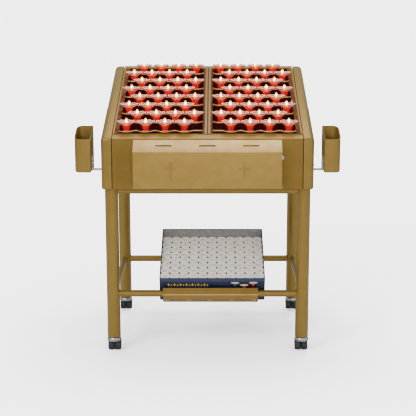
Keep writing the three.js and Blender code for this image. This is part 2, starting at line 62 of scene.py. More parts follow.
PANEL_LOW, PANEL_HIGH = node_box("front_panel")
BACK_LOW, BACK_HIGH = node_box("back_panel")
CHEEK_LOW, CHEEK_HIGH = node_box("cheek_right")
TRAY_LOW, TRAY_HIGH = node_box("candle_tray_right")
BODY_BOTTOM = PANEL_LOW.z
BODY_DEPTH = BACK_HIGH.y
FRONT_TOP = 990.0
SLOPE = 0.376
PANEL_HALF = PANEL_HIGH.x

ROWS = 8
CUPS_PER_ROW = 4
CUP_PITCH = 85.4
ROW_PITCH = 78.0
ROW_RISE = 29.5
FIRST_ROW_Y = 77.0
FIRST_TREAD_Z = 1011.0
ROW_START = (102.5, 59.8)
STEP_INNER = TRAY_LOW.x + 19.5
STEP_OUTER = TRAY_HIGH.x - 29.5
SEAT_FRONT, SEAT_DEPTH, SEAT_HALF = 33.0, 18.0, 35.0
STRAIGHT_EDGE = SEAT_FRONT - SEAT_DEPTH
LAST_ROW = ROWS - 1
TRAY_SHEET = 1.5

LEG_X = 427.3
LEG_Y = (56.5, BODY_DEPTH - 56.5)
LEG_RADIUS = 28.5
RAIL_RADIUS = 14.0
SIDES = (("left", -1), ("right", 1))
CORNERS = [f"{end}_{side}" for end in ("front", "rear") for side, _ in SIDES]


def top_z(y):
    """Height of the sloping top of the body at a depth y."""
    return FRONT_TOP + SLOPE * y


# ------------------------------------------------------------------ small helpers


def linear(hex_colour):
    """A linear RGBA colour from an sRGB hex string."""
    parts = [int(hex_colour[i:i + 2], 16) / 255 for i in (1, 3, 5)]
    return [c / 12.92 if c <= 0.04045 else ((c + 0.055) / 1.055) ** 2.4 for c in parts] + [1.0]


def add(tree, kind, settings=None, inputs=None):
    """Adds a node, sets its properties, and fills or links its inputs by name or number."""
    new = tree.nodes.new(kind)
    for key, value in (settings or {}).items():
        setattr(new, key, value)
    for key, value in (inputs or {}).items():
        if isinstance(value, bpy.types.NodeSocket):
            tree.links.new(value, new.inputs[key])
        else:
            new.inputs[key].default_value = value
    return new


def finish_named(name, base, roughness, metallic=0.0, **sockets):
    """A material with a Principled shader; extra sockets are set by name, with _ for spaces."""
    material = bpy.data.materials.new(name)
    material.use_nodes = True
    shader = material.node_tree.nodes["Principled BSDF"]
    shader.inputs["Base Color"].default_value = linear(base)
    shader.inputs["Roughness"].default_value = roughness
    shader.inputs["Metallic"].default_value = metallic
    for key, value in sockets.items():
        value = linear(value) if isinstance(value, str) else value
        shader.inputs[key.replace("_", " ")].default_value = value
    return material, material.node_tree, shader


def mottle(tree, shader, low, high, grain_mm, detail=3.0):
    """Lets the base colour drift between two shades over patches of a given size."""
    place = add(tree, "ShaderNodeTexCoord")
    noise = add(tree, "ShaderNodeTexNoise", inputs={
        "Vector": place.outputs["Object"], "Scale": 1000 / grain_mm, "Detail": detail, "Roughness": 0.55})
    ramp = add(tree, "ShaderNodeValToRGB", inputs={"Fac": noise.outputs["Fac"]})
    ramp.color_ramp.elements[0].position = 0.35
    ramp.color_ramp.elements[0].color = linear(low)
    ramp.color_ramp.elements[1].position = 0.65
    ramp.color_ramp.elements[1].color = linear(high)
    tree.links.new(ramp.outputs["Color"], shader.inputs["Base Color"])
    return place


def grain_bump(tree, shader, place, grain_mm, strength, depth_mm=0.1):
    """A fine raised grain of a given size."""
    noise = add(tree, "ShaderNodeTexNoise", inputs={
        "Vector": place.outputs["Object"], "Scale": 1000 / grain_mm, "Detail": 2.0})
    bump = add(tree, "ShaderNodeBump", inputs={
        "Height": noise.outputs["Fac"], "Strength": strength, "Distance": depth_mm / 1000})
    tree.links.new(bump.outputs["Normal"], shader.inputs["Normal"])


# ------------------------------------------------------------------ materials


def mottled(name, base, roughness, shades, grain=None, metallic=0.0, **sockets):
    """A finish that drifts between two shades, (low, high, patch mm), with a grain (mm, strength, depth)."""
    material, tree, shader = finish_named(name, base, roughness, metallic, **sockets)
    place = mottle(tree, shader, *shades)
    if grain:
        grain_bump(tree, shader, place, *grain)
    return material


def gold_powder_coat(name, low, high, roughness=0.38):
    # Powder coat with metallic flake, baked on steel: satin, with a fine orange peel. Each shade of it
    # below follows how light falls on those faces; the stand is taken to have one paint.
    return mottled(name, high, roughness, (low, high, 45), (2.5, 0.12), 0.5, Specular_IOR_Level=0.35)


def tray_enamel_and_shade():
    # Stoved enamel on the steps: a dark red that looks nearly black between the cups. The near-black is
    # painted shade under the treads and between the cups, and the red in it is a painted reflection of the
    # ruby cups.
    return mottled("dark_enamel_painted_shade_and_cup_reflection", "#4A0508", 0.42, ("#300305", "#5E080B", 18), (3.0, 0.1),
                   Specular_IOR_Level=0.08)


def pad_coat_painted_shade_and_glow():
    # The same powder coat in the shade of the cups, lit warm by the flames.
    return mottled("gold_powder_coat_painted_shade_and_glow", "#6A3A18", 0.6, ("#55260F", "#7E4A1F", 20), (2.5, 0.12),
                   Specular_IOR_Level=0.12)


def dark_paint_and_shade():
    # Brown-black air-dry paint inside the body, dull and dusty. It also stands in as painted shade: inside
    # the body, behind the slots of the coin cover and in the gaps between the spare candles.
    return mottled("brown_black_paint_and_painted_shade", "#2C2118", 0.6, ("#211811", "#382B1F", 40))


def zinc_plate():
    # Bright zinc plate on pressed steel: pale, slightly cloudy.
    return mottled("bright_zinc_plate", "#C9CCCE", 0.28, ("#B4B8BB", "#DCDEDF", 12), metallic=0.9)


def pale_strap():
    # Galvanised strap of the pocket brackets: pale, matt and lightly spangled.
    return mottled("galvanised_strap", "#E6E6E2", 0.4, ("#D8D8D4", "#F4F4F1", 8), metallic=0.15)


def bright_steel():
    # Turned mild steel: grey and sharp in its highlights.
    return mottled("turned_steel", "#B9B9B6", 0.25, ("#A9A9A6", "#C8C8C5", 6), metallic=1.0)


def black_nylon(name, low, high):
    # Moulded black nylon of the caster wheels and sockets: dull with a soft sheen.
    return mottled(name, high, 0.5, (low, high, 10), (1.2, 0.3))


def clear_pressed_glass():
    # Pressed soda-lime glass of the saucers and feet: milky where it is thick. Its peach tone is painted
    # glow of the flame and the ruby bowl, and a faint emission stands in for the light of the flame inside
    # it.
    return mottled("clear_pressed_glass", "#F0A88C", 0.12, ("#A8583E", "#FFDCC8", 6), (8.0, 0.5, 0.6),
                   Transmission_Weight=0.6, IOR=1.4, Emission_Color="#FF7A50", Emission_Strength=0.16)


def saucer_edge_highlight():
    # Fire-polished rim of a glass saucer: it gathers the light and shines white. The near-white with its
    # faint emission is a painted highlight.
    return mottled("saucer_edge_painted_highlight", "#FFF8F4", 0.1, ("#E8C0B0", "#FFFFFF", 9),
                   Emission_Color="#FFE0D0", Emission_Strength=0.55)


def ruby_glass():
    # Ruby glass of the bowls, lit from inside by the candle: saturated and glowing.
    return mottled("ruby_glass", "#CC0010", 0.14, ("#A8000C", "#E00A18", 7), Transmission_Weight=0.15,
                   IOR=1.5, Emission_Color="#FF0010", Emission_Strength=0.3)


def lit_wax():
    # Molten wax round the wick, glowing yellow in the light of its flame.
    return mottled("lit_candle_wax", "#FFDF9A", 0.3, ("#FFD98C", "#FFF0C8", 8),
                   Emission_Color="#FFB04A", Emission_Strength=2.2)


def flame():
    # Candle flame: white-yellow, brighter than anything round it.
    material, _, _ = finish_named(
        "candle_flame", "#FFF0C0", 0.5, 0.0, Emission_Color="#FFD98A", Emission_Strength=14.0)
    return material


def flame_veil():
    # Outer veil of the flame: a faint amber glow that lets what is behind it through.
    material, _, _ = finish_named(
        "flame_veil", "#FFB060", 0.8, 0.0, Specular_IOR_Level=0.0, Alpha=0.22,
        Emission_Color="#FF9A40", Emission_Strength=3.2)
    return material


def burnt_wick():
    # Charred cotton wick.
    return mottled("charred_wick", "#3A2A1C", 0.8, ("#1E1510", "#5A4028", 2))


def navy_board():
    # Coated carton board printed navy: smooth, with slight rubbing.
    return mottled("navy_printed_board", "#101B3A", 0.42, ("#0C1430", "#141F42", 35), (1.5, 0.15))


def grey_board():
    # Uncoated inside of the carton board: grey, fibrous and dull.
    return mottled("grey_board_inside", "#8D8B89", 0.8, ("#817F7D", "#9A9896", 10), (1.0, 0.4))


def white_wax():
    # Unlit paraffin candles: soft white. A faint emission stands in for the light that wax scatters.
    return mottled("white_paraffin_wax", "#F4F0E8", 0.45, ("#ECE7DD", "#FBF8F2", 20), (4.0, 0.2),
                   Subsurface_Weight=0.15, Subsurface_Scale=0.01, Emission_Color="#FFF6E8",
                   Emission_Strength=0.26)


def raw_wick():
    # Waxed cotton wick before use: tan thread.
    return mottled("waxed_cotton_wick", "#C8A468", 0.7, ("#B89256", "#D8B880", 3))


def print_ink(name, colour):
    # Offset print on the carton: flat ink with the board's own sheen.
    material, tree, shader = finish_named(name, colour, 0.4)
    place = add(tree, "ShaderNodeTexCoord")
    grain_bump(tree, shader, place, 1.5, 0.15)
    return material


# One powder coat in four shades: the plain coat, a painted shade, a painted light and a painted highlight.
GOLD = gold_powder_coat("satin_gold_powder_coat", "#8F7534", "#97793A")
SHADED_GOLD = gold_powder_coat("satin_gold_powder_coat_shaded", "#7E6225", "#86692A", 0.45)
LIT_GOLD = gold_powder_coat("satin_gold_powder_coat_painted_light", "#A1803C", "#A98843", 0.36)
HIGHLIGHT_GOLD = gold_powder_coat("gold_powder_coat_painted_highlight", "#DDB06A", "#EBC484", 0.28)
ENAMEL_AND_SHADE = tray_enamel_and_shade()
PAD = pad_coat_painted_shade_and_glow()
DARK = dark_paint_and_shade()
ZINC = zinc_plate()
STEEL = bright_steel()
STRAP = pale_strap()
NYLON = black_nylon("moulded_black_nylon", "#121214", "#1E1E21")
RIB = black_nylon("scuffed_black_nylon_tread", "#3A3B3E", "#505255")
CLEAR = clear_pressed_glass()
EDGE_HIGHLIGHT = saucer_edge_highlight()
RUBY = ruby_glass()
LIT_WAX = lit_wax()
FLAME = flame()
VEIL = flame_veil()
CHAR = burnt_wick()
NAVY = navy_board()
GREY = grey_board()
WAX = white_wax()
WICK = raw_wick()
GOLD_INK = print_ink("gold_print", "#C9A23C")
CREAM_INK = print_ink("cream_print", "#D8CFC4")
RED_INK = print_ink("red_print", "#D03A20")
BLUE_INK = print_ink("blue_print", "#3048A8")
BROWN_INK = print_ink("dark_brown_print", "#1D1418")
PALE_NAVY = print_ink("pale_navy_print", "#2E3A5C")


# ------------------------------------------------------------------ making meshes


def piece(name, bm, materials, smooth_angle=35.0, body="stand", stands_for=(),
          choose=None):
    """Turns a bmesh, in mm from the front face, into a finished piece of the object.

    choose(centre, normal) gives the number of the material that a face takes, the first if left out.
    """
    bmesh.ops.remove_doubles(bm, verts=bm.verts, dist=0.002)
    bm.normal_update()
    for face in bm.faces:
        face.material_index = choose(face.calc_center_median(), face.normal) if choose else 0
    bm.transform(Matrix.Translation((0, FRONT / 1000, 0)) @ Matrix.Scale(0.001, 4))
    mesh = bpy.data.meshes.new(name)
    bm.to_mesh(mesh)
    bm.free()
    obj = bpy.data.objects.new(name, mesh)
    bpy.context.scene.collection.objects.link(obj)
    return dress(obj, materials, smooth_angle, body, stands_for)


def dress(obj, materials, smooth_angle=35.0, body="stand", stands_for=()):
    """Gives a finished object its material, smooth faces and place on a body."""
    mesh = obj.data
    if not mesh.materials:
        for material in materials:
            mesh.materials.append(material)
    mesh.polygons.foreach_set("use_smooth", [True] * len(mesh.polygons))
    mesh.set_sharp_from_angle(angle=math.radians(smooth_angle))
    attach(obj, body)
    if stands_for:
        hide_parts(*stands_for)
    return obj


def settle(obj):
    """Replaces an object's mesh by what its modifiers make of it."""
    graph = bpy.context.evaluated_depsgraph_get()
    mesh = bpy.data.meshes.new_from_object(obj.evaluated_get(graph))
    obj.modifiers.clear()
    obj.data = mesh
    return obj


def plain(name, bm):
    """A working object that is not yet part of the rack, in mm."""
    mesh = bpy.data.meshes.new(name)
    bm.to_mesh(mesh)
    bm.free()
    obj = bpy.data.objects.new(name, mesh)
    bpy.context.scene.collection.objects.link(obj)
    return obj


def taken_back(obj):
    """The mesh of a working object as a bmesh; the object goes away."""
    bm = bmesh.new()
    bm.from_mesh(obj.data)
    bpy.data.objects.remove(obj)
    return bm


def rounded(path, radius, steps=5, closed=False):
    """A path of 2-D points with its corners rounded."""
    result = []
    count = len(path)
    for i, point in enumerate(path):
        here = Vector(point)
        if not closed and i in (0, count - 1):
            result.append(tuple(here))
            continue
        back = Vector(path[i - 1]) - here
        ahead = Vector(path[(i + 1) % count]) - here
        half = back.angle(ahead) / 2
        reach = min(radius / math.tan(half), back.length * 0.48, ahead.length * 0.48)
        fit = reach * math.tan(half)
        centre = here + (back.normalized() + ahead.normalized()).normalized() * math.hypot(reach, fit)
        start = here + back.normalized() * reach - centre
        end = here + ahead.normalized() * reach - centre
        turn = start.angle_signed(end)
        for k in range(steps + 1):
            result.append(tuple(centre + Matrix.Rotation(-turn * k / steps, 2) @ start))
    return result


def sheet_outline(path, thickness):
    """Closed outline of a sheet whose middle line is the path."""
    left, right = [], []
    for i, point in enumerate(path):
        here = Vector(point)
        before = (here - Vector(path[i - 1])).normalized() if i else None
        after = (Vector(path[i + 1]) - here).normalized() if i < len(path) - 1 else None
        before = before or after
        after = after or before
        normal = Vector((-before.y - after.y, before.x + after.x)).normalized()
        lean = max(normal.dot(Vector((-before.y, before.x))), 0.4)
        left.append(tuple(here + normal * thickness / 2 / lean))
        right.append(tuple(here - normal * thickness / 2 / lean))
    return left + right[::-1]


def walled(bm, one, two):
    """The faces between two rings that have the same number of vertices."""
    count = len(one)
    return [bm.faces.new((one[i], one[(i + 1) % count], two[(i + 1) % count], two[i])) for i in range(count)]


def prism_x(outline, x0, x1, bm=None):
    """A prism along x on an outline of (y, z) points."""
    bm = bm or bmesh.new()
    ends = [[bm.verts.new((x, y, z)) for y, z in outline] for x in (x0, x1)]
    walled(bm, *ends)
    caps = [bm.faces.new(ends[0]), bm.faces.new(ends[1])]
    bmesh.ops.triangulate(bm, faces=caps)
    bmesh.ops.recalc_face_normals(bm, faces=[f for f in bm.faces if f.is_valid])
    return bm


def folded(path, thickness, x0, x1, bend=2.5, bm=None):
    """A folded sheet whose middle line, in (y, z), runs along x."""
    return prism_x(sheet_outline(rounded(path, bend), thickness), x0, x1, bm)


def block(x0, x1, y0, y1, z0, z1, bm=None):
    """A box between two corners."""
    return prism_x([(y0, z0), (y1, z0), (y1, z1), (y0, z1)], x0, x1, bm)


def lathe(profile, sides, bm=None, wave=None):
    """A body turned about z from (radius, z) points; wave(radius, z, angle) may ripple it."""
    bm = bm or bmesh.new()
    rings = []
    for radius, z in profile:
        if radius < 1e-6:
            rings.append([bm.verts.new((0, 0, z))])
            continue
        ring = []
        for k in range(sides):
            angle = 2 * math.pi * k / sides
            r, height = wave(radius, z, angle) if wave else (radius, z)
            ring.append(bm.verts.new((r * math.cos(angle), r * math.sin(angle), height)))
        rings.append(ring)
    for low, high in zip(rings, rings[1:]):
        for k in range(sides):
            n = (k + 1) % sides
            if len(low) == 1 and len(high) == 1:
                continue
            if len(low) == 1:
                bm.faces.new((low[0], high[n], high[k]))
            elif len(high) == 1:
                bm.faces.new((low[k], low[n], high[0]))
            else:
                bm.faces.new((low[k], low[n], high[n], high[k]))
    return bm


def moved(bm, matrix):
    """A bmesh carried by a matrix."""
    bm.transform(matrix)
    return bm


def merged(*parts):
    """Several bmeshes as one."""
    result = parts[0]
    for part in parts[1:]:
        mesh = bpy.data.meshes.new("part")
        part.to_mesh(mesh)
        part.free()
        result.from_mesh(mesh)
        bpy.data.meshes.remove(mesh)
    return result


def swept(path, radius, sides=8, closed=False, bm=None):
    """A round bar along a path of 3-D points."""
    bm = bm or bmesh.new()
    points = [Vector(p) for p in path]
    count = len(points)
    rings = []
    side = None
    for i, point in enumerate(points):
        ahead = points[(i + 1) % count] if closed or i < count - 1 else point
        behind = points[i - 1] if closed or i else point
        along = (ahead - behind).normalized()
        if side is None:
            side = along.orthogonal().normalized()
        side = (side - along * side.dot(along)).normalized()
        up = along.cross(side)
        rings.append([bm.verts.new(point + (side * math.cos(a) + up * math.sin(a)) * radius)
                      for a in (2 * math.pi * k / sides for k in range(sides))])
    pairs = list(zip(rings, rings[1:])) + ([(rings[-1], rings[0])] if closed else [])
    for one, two in pairs:
        walled(bm, one, two)
    if not closed:
        bm.faces.new(rings[0][::-1])
        bm.faces.new(rings[-1])
    return bm


TO_X = Matrix.Rotation(math.pi / 2, 4, "Y")
TO_Y = Matrix.Rotation(-math.pi / 2, 4, "X")


def pipe(radius, wall, z0, z1, sides=48):
    """A tube along z, open at both ends."""
    bore = radius - wall
    return lathe([(bore, z0), (radius, z0), (radius, z1), (bore, z1), (bore, z0)], sides)


# ------------------------------------------------------------------ geometry node trees


def new_tree(name, inputs):
    """A geometry tree with a geometry in and out and named number inputs."""
    tree = bpy.data.node_groups.new(name, "GeometryNodeTree")
    tree.interface.new_socket("Geometry", in_out="INPUT", socket_type="NodeSocketGeometry")
    for label, kind in inputs:
        tree.interface.new_socket(label, in_out="INPUT", socket_type=kind)
    tree.interface.new_socket("Geometry", in_out="OUTPUT", socket_type="NodeSocketGeometry")
    return tree, add(tree, "NodeGroupInput").outputs


def grown(name, tree, values):
    """What a geometry tree makes with these input values, as a plain object at the origin."""
    holder = plain(name, bmesh.new())
    modifier = holder.modifiers.new("grow", "NODES")
    modifier.node_group = tree
    for item in tree.interface.items_tree:
        if item.in_out == "INPUT" and item.name in values:
            modifier[item.identifier] = values[item.name]
    return settle(holder)


def closed_off(tree, given, last):
    """Ends a tree: what its last node gives is made real and takes its finish."""
    real = add(tree, "GeometryNodeRealizeInstances", inputs={"Geometry": last.outputs[0]})
    done = add(tree, "GeometryNodeSetMaterial", inputs={
        "Geometry": real.outputs[0], "Material": given["Finish"]})
    add(tree, "NodeGroupOutput", inputs={"Geometry": done.outputs[0]})
    return tree


def staggered_rows_tree():
    """Copies of one thing in stepped rows, every second row shifted, as cups stand on a tray."""
    tree, given = new_tree("staggered_rows", [
        ("Thing", "NodeSocketObject"), ("Rows", "NodeSocketInt"), ("Per Row", "NodeSocketInt"),
        ("Pitch", "NodeSocketFloat"), ("Row Step", "NodeSocketVector"), ("First", "NodeSocketVector"),
        ("Shift", "NodeSocketFloat"), ("Turn", "NodeSocketFloat"), ("Tilt", "NodeSocketFloat"),
        ("Finish", "NodeSocketMaterial")])

    def maths(operation, a, b):
        return add(tree, "ShaderNodeMath", {"operation": operation}, {0: a, 1: b}).outputs[0]

    index = add(tree, "GeometryNodeInputIndex").outputs[0]
    row = maths("FLOOR", maths("DIVIDE", index, given["Per Row"]), 0.0)
    place = maths("MODULO", index, given["Per Row"])
    odd = maths("MODULO", row, 2.0)
    x = maths("ADD", maths("MULTIPLY", place, given["Pitch"]), maths("MULTIPLY", odd, given["Shift"]))
    across = add(tree, "ShaderNodeCombineXYZ", inputs={"X": x}).outputs[0]
    steps = add(tree, "ShaderNodeVectorMath", {"operation": "SCALE"}, {0: given["Row Step"], "Scale": row})
    sum1 = add(tree, "ShaderNodeVectorMath", {"operation": "ADD"}, {0: across, 1: steps.outputs[0]})
    where = add(tree, "ShaderNodeVectorMath", {"operation": "ADD"}, {0: sum1.outputs[0], 1: given["First"]})
    total = maths("MULTIPLY", given["Rows"], given["Per Row"])
    points = add(tree, "GeometryNodePoints", inputs={"Count": total, "Position": where.outputs[0]})
    spin = add(tree, "FunctionNodeRandomValue", {"data_type": "FLOAT"}, {"ID": index, "Seed": 7})
    spin.inputs[2].default_value = 0.0
    spin.inputs[3].default_value = 2 * math.pi
    turn = maths("MULTIPLY", spin.outputs[1], given["Turn"])
    lean = add(tree, "ShaderNodeCombineXYZ", inputs={"X": given["Tilt"]})
    own_axis = add(tree, "ShaderNodeCombineXYZ", inputs={"Z": turn})
    source = add(tree, "GeometryNodeObjectInfo", inputs={"Object": given["Thing"], "As Instance": True})
    copies = add(tree, "GeometryNodeInstanceOnPoints", inputs={
        "Points": points.outputs[0], "Instance": source.outputs["Geometry"], "Rotation": lean.outputs[0]})
    turned = add(tree, "GeometryNodeRotateInstances", inputs={
        "Instances": copies.outputs[0], "Rotation": own_axis.outputs[0], "Local Space": True})
    return closed_off(tree, given, turned)


def rolled_edge_tree():
    """A round bead rolled along every edge line of a wire."""
    tree, given = new_tree("rolled_edge", [
        ("Wire", "NodeSocketObject"), ("Bead Radius", "NodeSocketFloat"), ("Finish", "NodeSocketMaterial")])
    wire = add(tree, "GeometryNodeObjectInfo", inputs={"Object": given["Wire"]})
    curve = add(tree, "GeometryNodeMeshToCurve", inputs={"Mesh": wire.outputs["Geometry"]})
    ring = add(tree, "GeometryNodeCurvePrimitiveCircle", inputs={
        "Resolution": 8, "Radius": given["Bead Radius"]})
    bead = add(tree, "GeometryNodeCurveToMesh", inputs={
        "Curve": curve.outputs[0], "Profile Curve": ring.outputs[0], "Fill Caps": True})
    return closed_off(tree, given, bead)


def ring_tree():
    """Copies of one thing round a circle in the z plane, every second one upside down if asked."""
    tree, given = new_tree("ring_of_copies", [
        ("Thing", "NodeSocketObject"), ("Count", "NodeSocketInt"), ("Radius", "NodeSocketFloat"),
        ("Alternate", "NodeSocketFloat"), ("Finish", "NodeSocketMaterial")])

    def maths(operation, a, b=0.0):
        return add(tree, "ShaderNodeMath", {"operation": operation}, {0: a, 1: b}).outputs[0]

    index = add(tree, "GeometryNodeInputIndex").outputs[0]
    angle = maths("DIVIDE", maths("MULTIPLY", index, 2 * math.pi), given["Count"])
    flip = maths("MULTIPLY", maths("MULTIPLY", maths("MODULO", index, 2.0), math.pi), given["Alternate"])
    spot = add(tree, "ShaderNodeCombineXYZ", inputs={
        "X": maths("MULTIPLY", maths("COSINE", angle), given["Radius"]),
        "Y": maths("MULTIPLY", maths("SINE", angle), given["Radius"])})
    points = add(tree, "GeometryNodePoints", inputs={"Count": given["Count"], "Position": spot.outputs[0]})
    rotation = add(tree, "ShaderNodeCombineXYZ", inputs={"X": flip, "Z": angle})
    source = add(tree, "GeometryNodeObjectInfo", inputs={"Object": given["Thing"], "As Instance": True})
    copies = add(tree, "GeometryNodeInstanceOnPoints", inputs={
        "Points": points.outputs[0], "Instance": source.outputs["Geometry"], "Rotation": rotation.outputs[0]})
    return closed_off(tree, given, copies)


ROWS_TREE = staggered_rows_tree()
RING_TREE = ring_tree()
EDGE_TREE = rolled_edge_tree()


def in_metres(bm):
    """A master or wire in metres, in the frame's own place."""
    return moved(bm, Matrix.Translation((0, FRONT / 1000, 0)) @ Matrix.Scale(0.001, 4))


def rolled(name, lines, radius, material, body, stands_for=()):
    """A rolled edge of a given radius in mm along lines of 3-D points."""
    bm = bmesh.new()
    for line in lines:
        verts = [bm.verts.new(p) for p in line]
        for a, b in zip(verts, verts[1:]):
            bm.edges.new((a, b))
    wire = plain(name + "_wire", in_metres(bm))
    obj = grown(name, EDGE_TREE, {"Wire": wire, "Bead Radius": radius / 1000, "Finish": material})
    bpy.data.objects.remove(wire)
    return dress(obj, [material], 60, body, stands_for)


# ------------------------------------------------------------------ legs and rails


def legs():
    low, high = node_box("leg_front_left")
    for end, y in zip(("front", "rear"), LEG_Y):
        for side, sx in SIDES:
            name = f"{end}_{side}"
            bm = moved(pipe(LEG_RADIUS, 2, low.z, high.z, 64), Matrix.Translation((sx * LEG_X, y, 0)))
            piece(f"leg_tube_{name}", bm, [GOLD], stands_for=(f"leg_{name}",))


def saddle(sign, along, radius=2.2):
    """Weld bead where a rail meets a leg: the line in which the two tubes cross."""
    points = []
    for k in range(32):
        angle = 2 * math.pi * k / 32
        across, up = RAIL_RADIUS * math.cos(angle), RAIL_RADIUS * math.sin(angle)
        reach = sign * math.sqrt(LEG_RADIUS ** 2 - across ** 2)
        points.append((reach, across, up) if along == "x" else (across, reach, up))
    return swept(points, radius, 8, True)


def rails():
    upper = node_box("upper_rail_front")
    lower = node_box("lower_rail_front")
    heights = {"upper": (upper[0].z + upper[1].z) / 2, "lower": (lower[0].z + lower[1].z) / 2}
    grip = LEG_RADIUS - 1.5
    middle_y = sum(LEG_Y) / 2
    half_y = (LEG_Y[1] - LEG_Y[0]) / 2
    for level, z in heights.items():
        for end, y in zip(("front", "rear"), LEG_Y):
            bm = moved(pipe(RAIL_RADIUS, 1.5, -(LEG_X - grip), LEG_X - grip, 40), TO_X)
            beads = [moved(saddle(-sign, "x"), Matrix.Translation((sign * LEG_X, 0, 0))) for sign in (-1, 1)]
            bm = moved(merged(bm, *beads), Matrix.Translation((0, y, z)))
            piece(f"{level}_rail_tube_{end}", bm, [GOLD], stands_for=(f"{level}_rail_{end}",))
    for side, sx in SIDES:
        bm = moved(pipe(RAIL_RADIUS, 1.5, -(half_y - grip), half_y - grip, 40), TO_Y)
        beads = [moved(saddle(-sign, "y"), Matrix.Translation((0, sign * half_y, 0))) for sign in (-1, 1)]
        bm = moved(merged(bm, *beads), Matrix.Translation((sx * LEG_X, middle_y, heights["lower"])))
        piece(f"lower_rail_tube_{side}", bm, [GOLD], stands_for=(f"lower_rail_{side}",))


# ------------------------------------------------------------------ body


def cheeks():
    x0, x1 = CHEEK_LOW.x, CHEEK_HIGH.x
    corners = [(0, BODY_BOTTOM), (BODY_DEPTH, BODY_BOTTOM), (BODY_DEPTH, top_z(BODY_DEPTH)), (0, FRONT_TOP)]
    for side, sx in SIDES:
        bm = bmesh.new()
        weight = bm.edges.layers.float.new("bevel_weight_edge")
        inner = [bm.verts.new((sx * x0, y, z)) for y, z in corners]
        outer = [bm.verts.new((sx * x1, y, z)) for y, z in corners]
        bm.faces.new(outer)
        walled(bm, inner, outer)
        bmesh.ops.recalc_face_normals(bm, faces=bm.faces)
        for edge in bm.edges:
            low = max(v.co.z for v in edge.verts) < BODY_BOTTOM + 1
            across = abs(edge.verts[0].co.x - edge.verts[1].co.x) > 1
            if len(edge.link_faces) == 2:
                edge[weight] = 0.5 if low and not across else (0.6 if across else 1.0)
        if sum(f.normal.x * sx for f in bm.faces) < 0:
            bmesh.ops.reverse_faces(bm, faces=bm.faces)
        obj = plain(f"cheek_shell_{side}", bm)
        bevel = obj.modifiers.new("round", "BEVEL")
        bevel.width = 18
        bevel.segments = 6
        bevel.limit_method = "WEIGHT"
        wall = obj.modifiers.new("wall", "SOLIDIFY")
        wall.thickness = 2
        wall.offset = -1
        bm = taken_back(settle(obj))
        piece(f"cheek_shell_{side}", bm, [GOLD], stands_for=(f"cheek_{side}",))


def panels():
    h = 1.0
    lip = PANEL_HIGH.y - 1
    front = [(26, BODY_BOTTOM + h), (h, BODY_BOTTOM + h), (h, FRONT_TOP - h), (lip, top_z(lip) - h),
             (lip, FRONT_TOP - 8)]
    bm = folded(front, 2, -PANEL_HALF, PANEL_HALF, 3.5)
    # The front face of the fascia takes the darker gold, a painted shade.
    piece("front_panel_sheet", bm, [GOLD, SHADED_GOLD], stands_for=("front_panel",),
          choose=lambda centre, normal: int(normal.y < -0.9))
    start = BACK_LOW.y + 1
    back = BODY_DEPTH - h
    rear = [(BODY_DEPTH - 26, BODY_BOTTOM + h), (back, BODY_BOTTOM + h), (back, top_z(back) - h),
            (start, top_z(start) - h), (start, top_z(start) - 22)]
    bm = folded(rear, 2, -PANEL_HALF, PANEL_HALF, 3.5)
    piece("back_panel_sheet", bm, [GOLD], stands_for=("back_panel",))


def paint_frame_nodes():
    """CAD nodes whose plain shape is already right only take a finish."""
    # These parts take the brown-black paint, which here is also painted shade inside the body.
    dark = ["bottom_pan", "tray_bearer_left", "tray_bearer_centre", "tray_bearer_right", "coin_box_tray",
            "coin_box_tray_end_left", "coin_box_tray_end_right"]
    finishes = {name: DARK for name in dark}
    finishes.update({"coin_box_lock_cam": ZINC, "coin_box_hinge_rod": GOLD})
    for corner in CORNERS:
        finishes[f"caster_{corner}_socket"] = NYLON
        finishes[f"caster_{corner}_axle"] = STEEL
    for name, material in finishes.items():
        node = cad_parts[name]
        node.data.materials.clear()
        node.data.materials.append(material)


# ------------------------------------------------------------------ candle trays


def row_y(row):
    """Depth of the cup centres in a row."""
    return FIRST_ROW_Y + row * ROW_PITCH


def tread_z(row):
    """Height of the tread that a row of cups stands on."""
    return FIRST_TREAD_Z + row * ROW_RISE


def scallops(row, x0, x1, steps=10):
    """Plan line of the front edge of a tread: an arc round the front of each cup, straight between."""
    radius = (SEAT_HALF ** 2 + SEAT_DEPTH ** 2) / (2 * SEAT_DEPTH)
    spread = math.asin(SEAT_HALF / radius)
    y = row_y(row)
    line = [(x0, y - STRAIGHT_EDGE)]
    for i in range(CUPS_PER_ROW):
        x = ROW_START[row % 2] + i * CUP_PITCH
        for k in range(steps + 1):
            angle = -spread + 2 * spread * k / steps
            line.append((x + radius * math.sin(angle), y - SEAT_FRONT + radius * (1 - math.cos(angle))))
    line.append((x1, y - STRAIGHT_EDGE))
    return [(min(max(x, x0), x1), yy) for x, yy in line]


def plate(line, back, z, thickness, bm):
    """A level plate from a front line back to a straight edge."""
    outline = list(line) + [(line[-1][0], back), (line[0][0], back)]
    levels = [[bm.verts.new((x, y, h)) for x, y in outline] for h in (z - thickness, z)]
    count = len(outline)
    for i in range(count):
        n = (i + 1) % count
        if (Vector(outline[i]) - Vector(outline[n])).length > 0.01:
            bm.faces.new((levels[0][i], levels[0][n], levels[1][n], levels[1][i]))
    bm.faces.new(levels[0][::-1])
    bm.faces.new(levels[1])


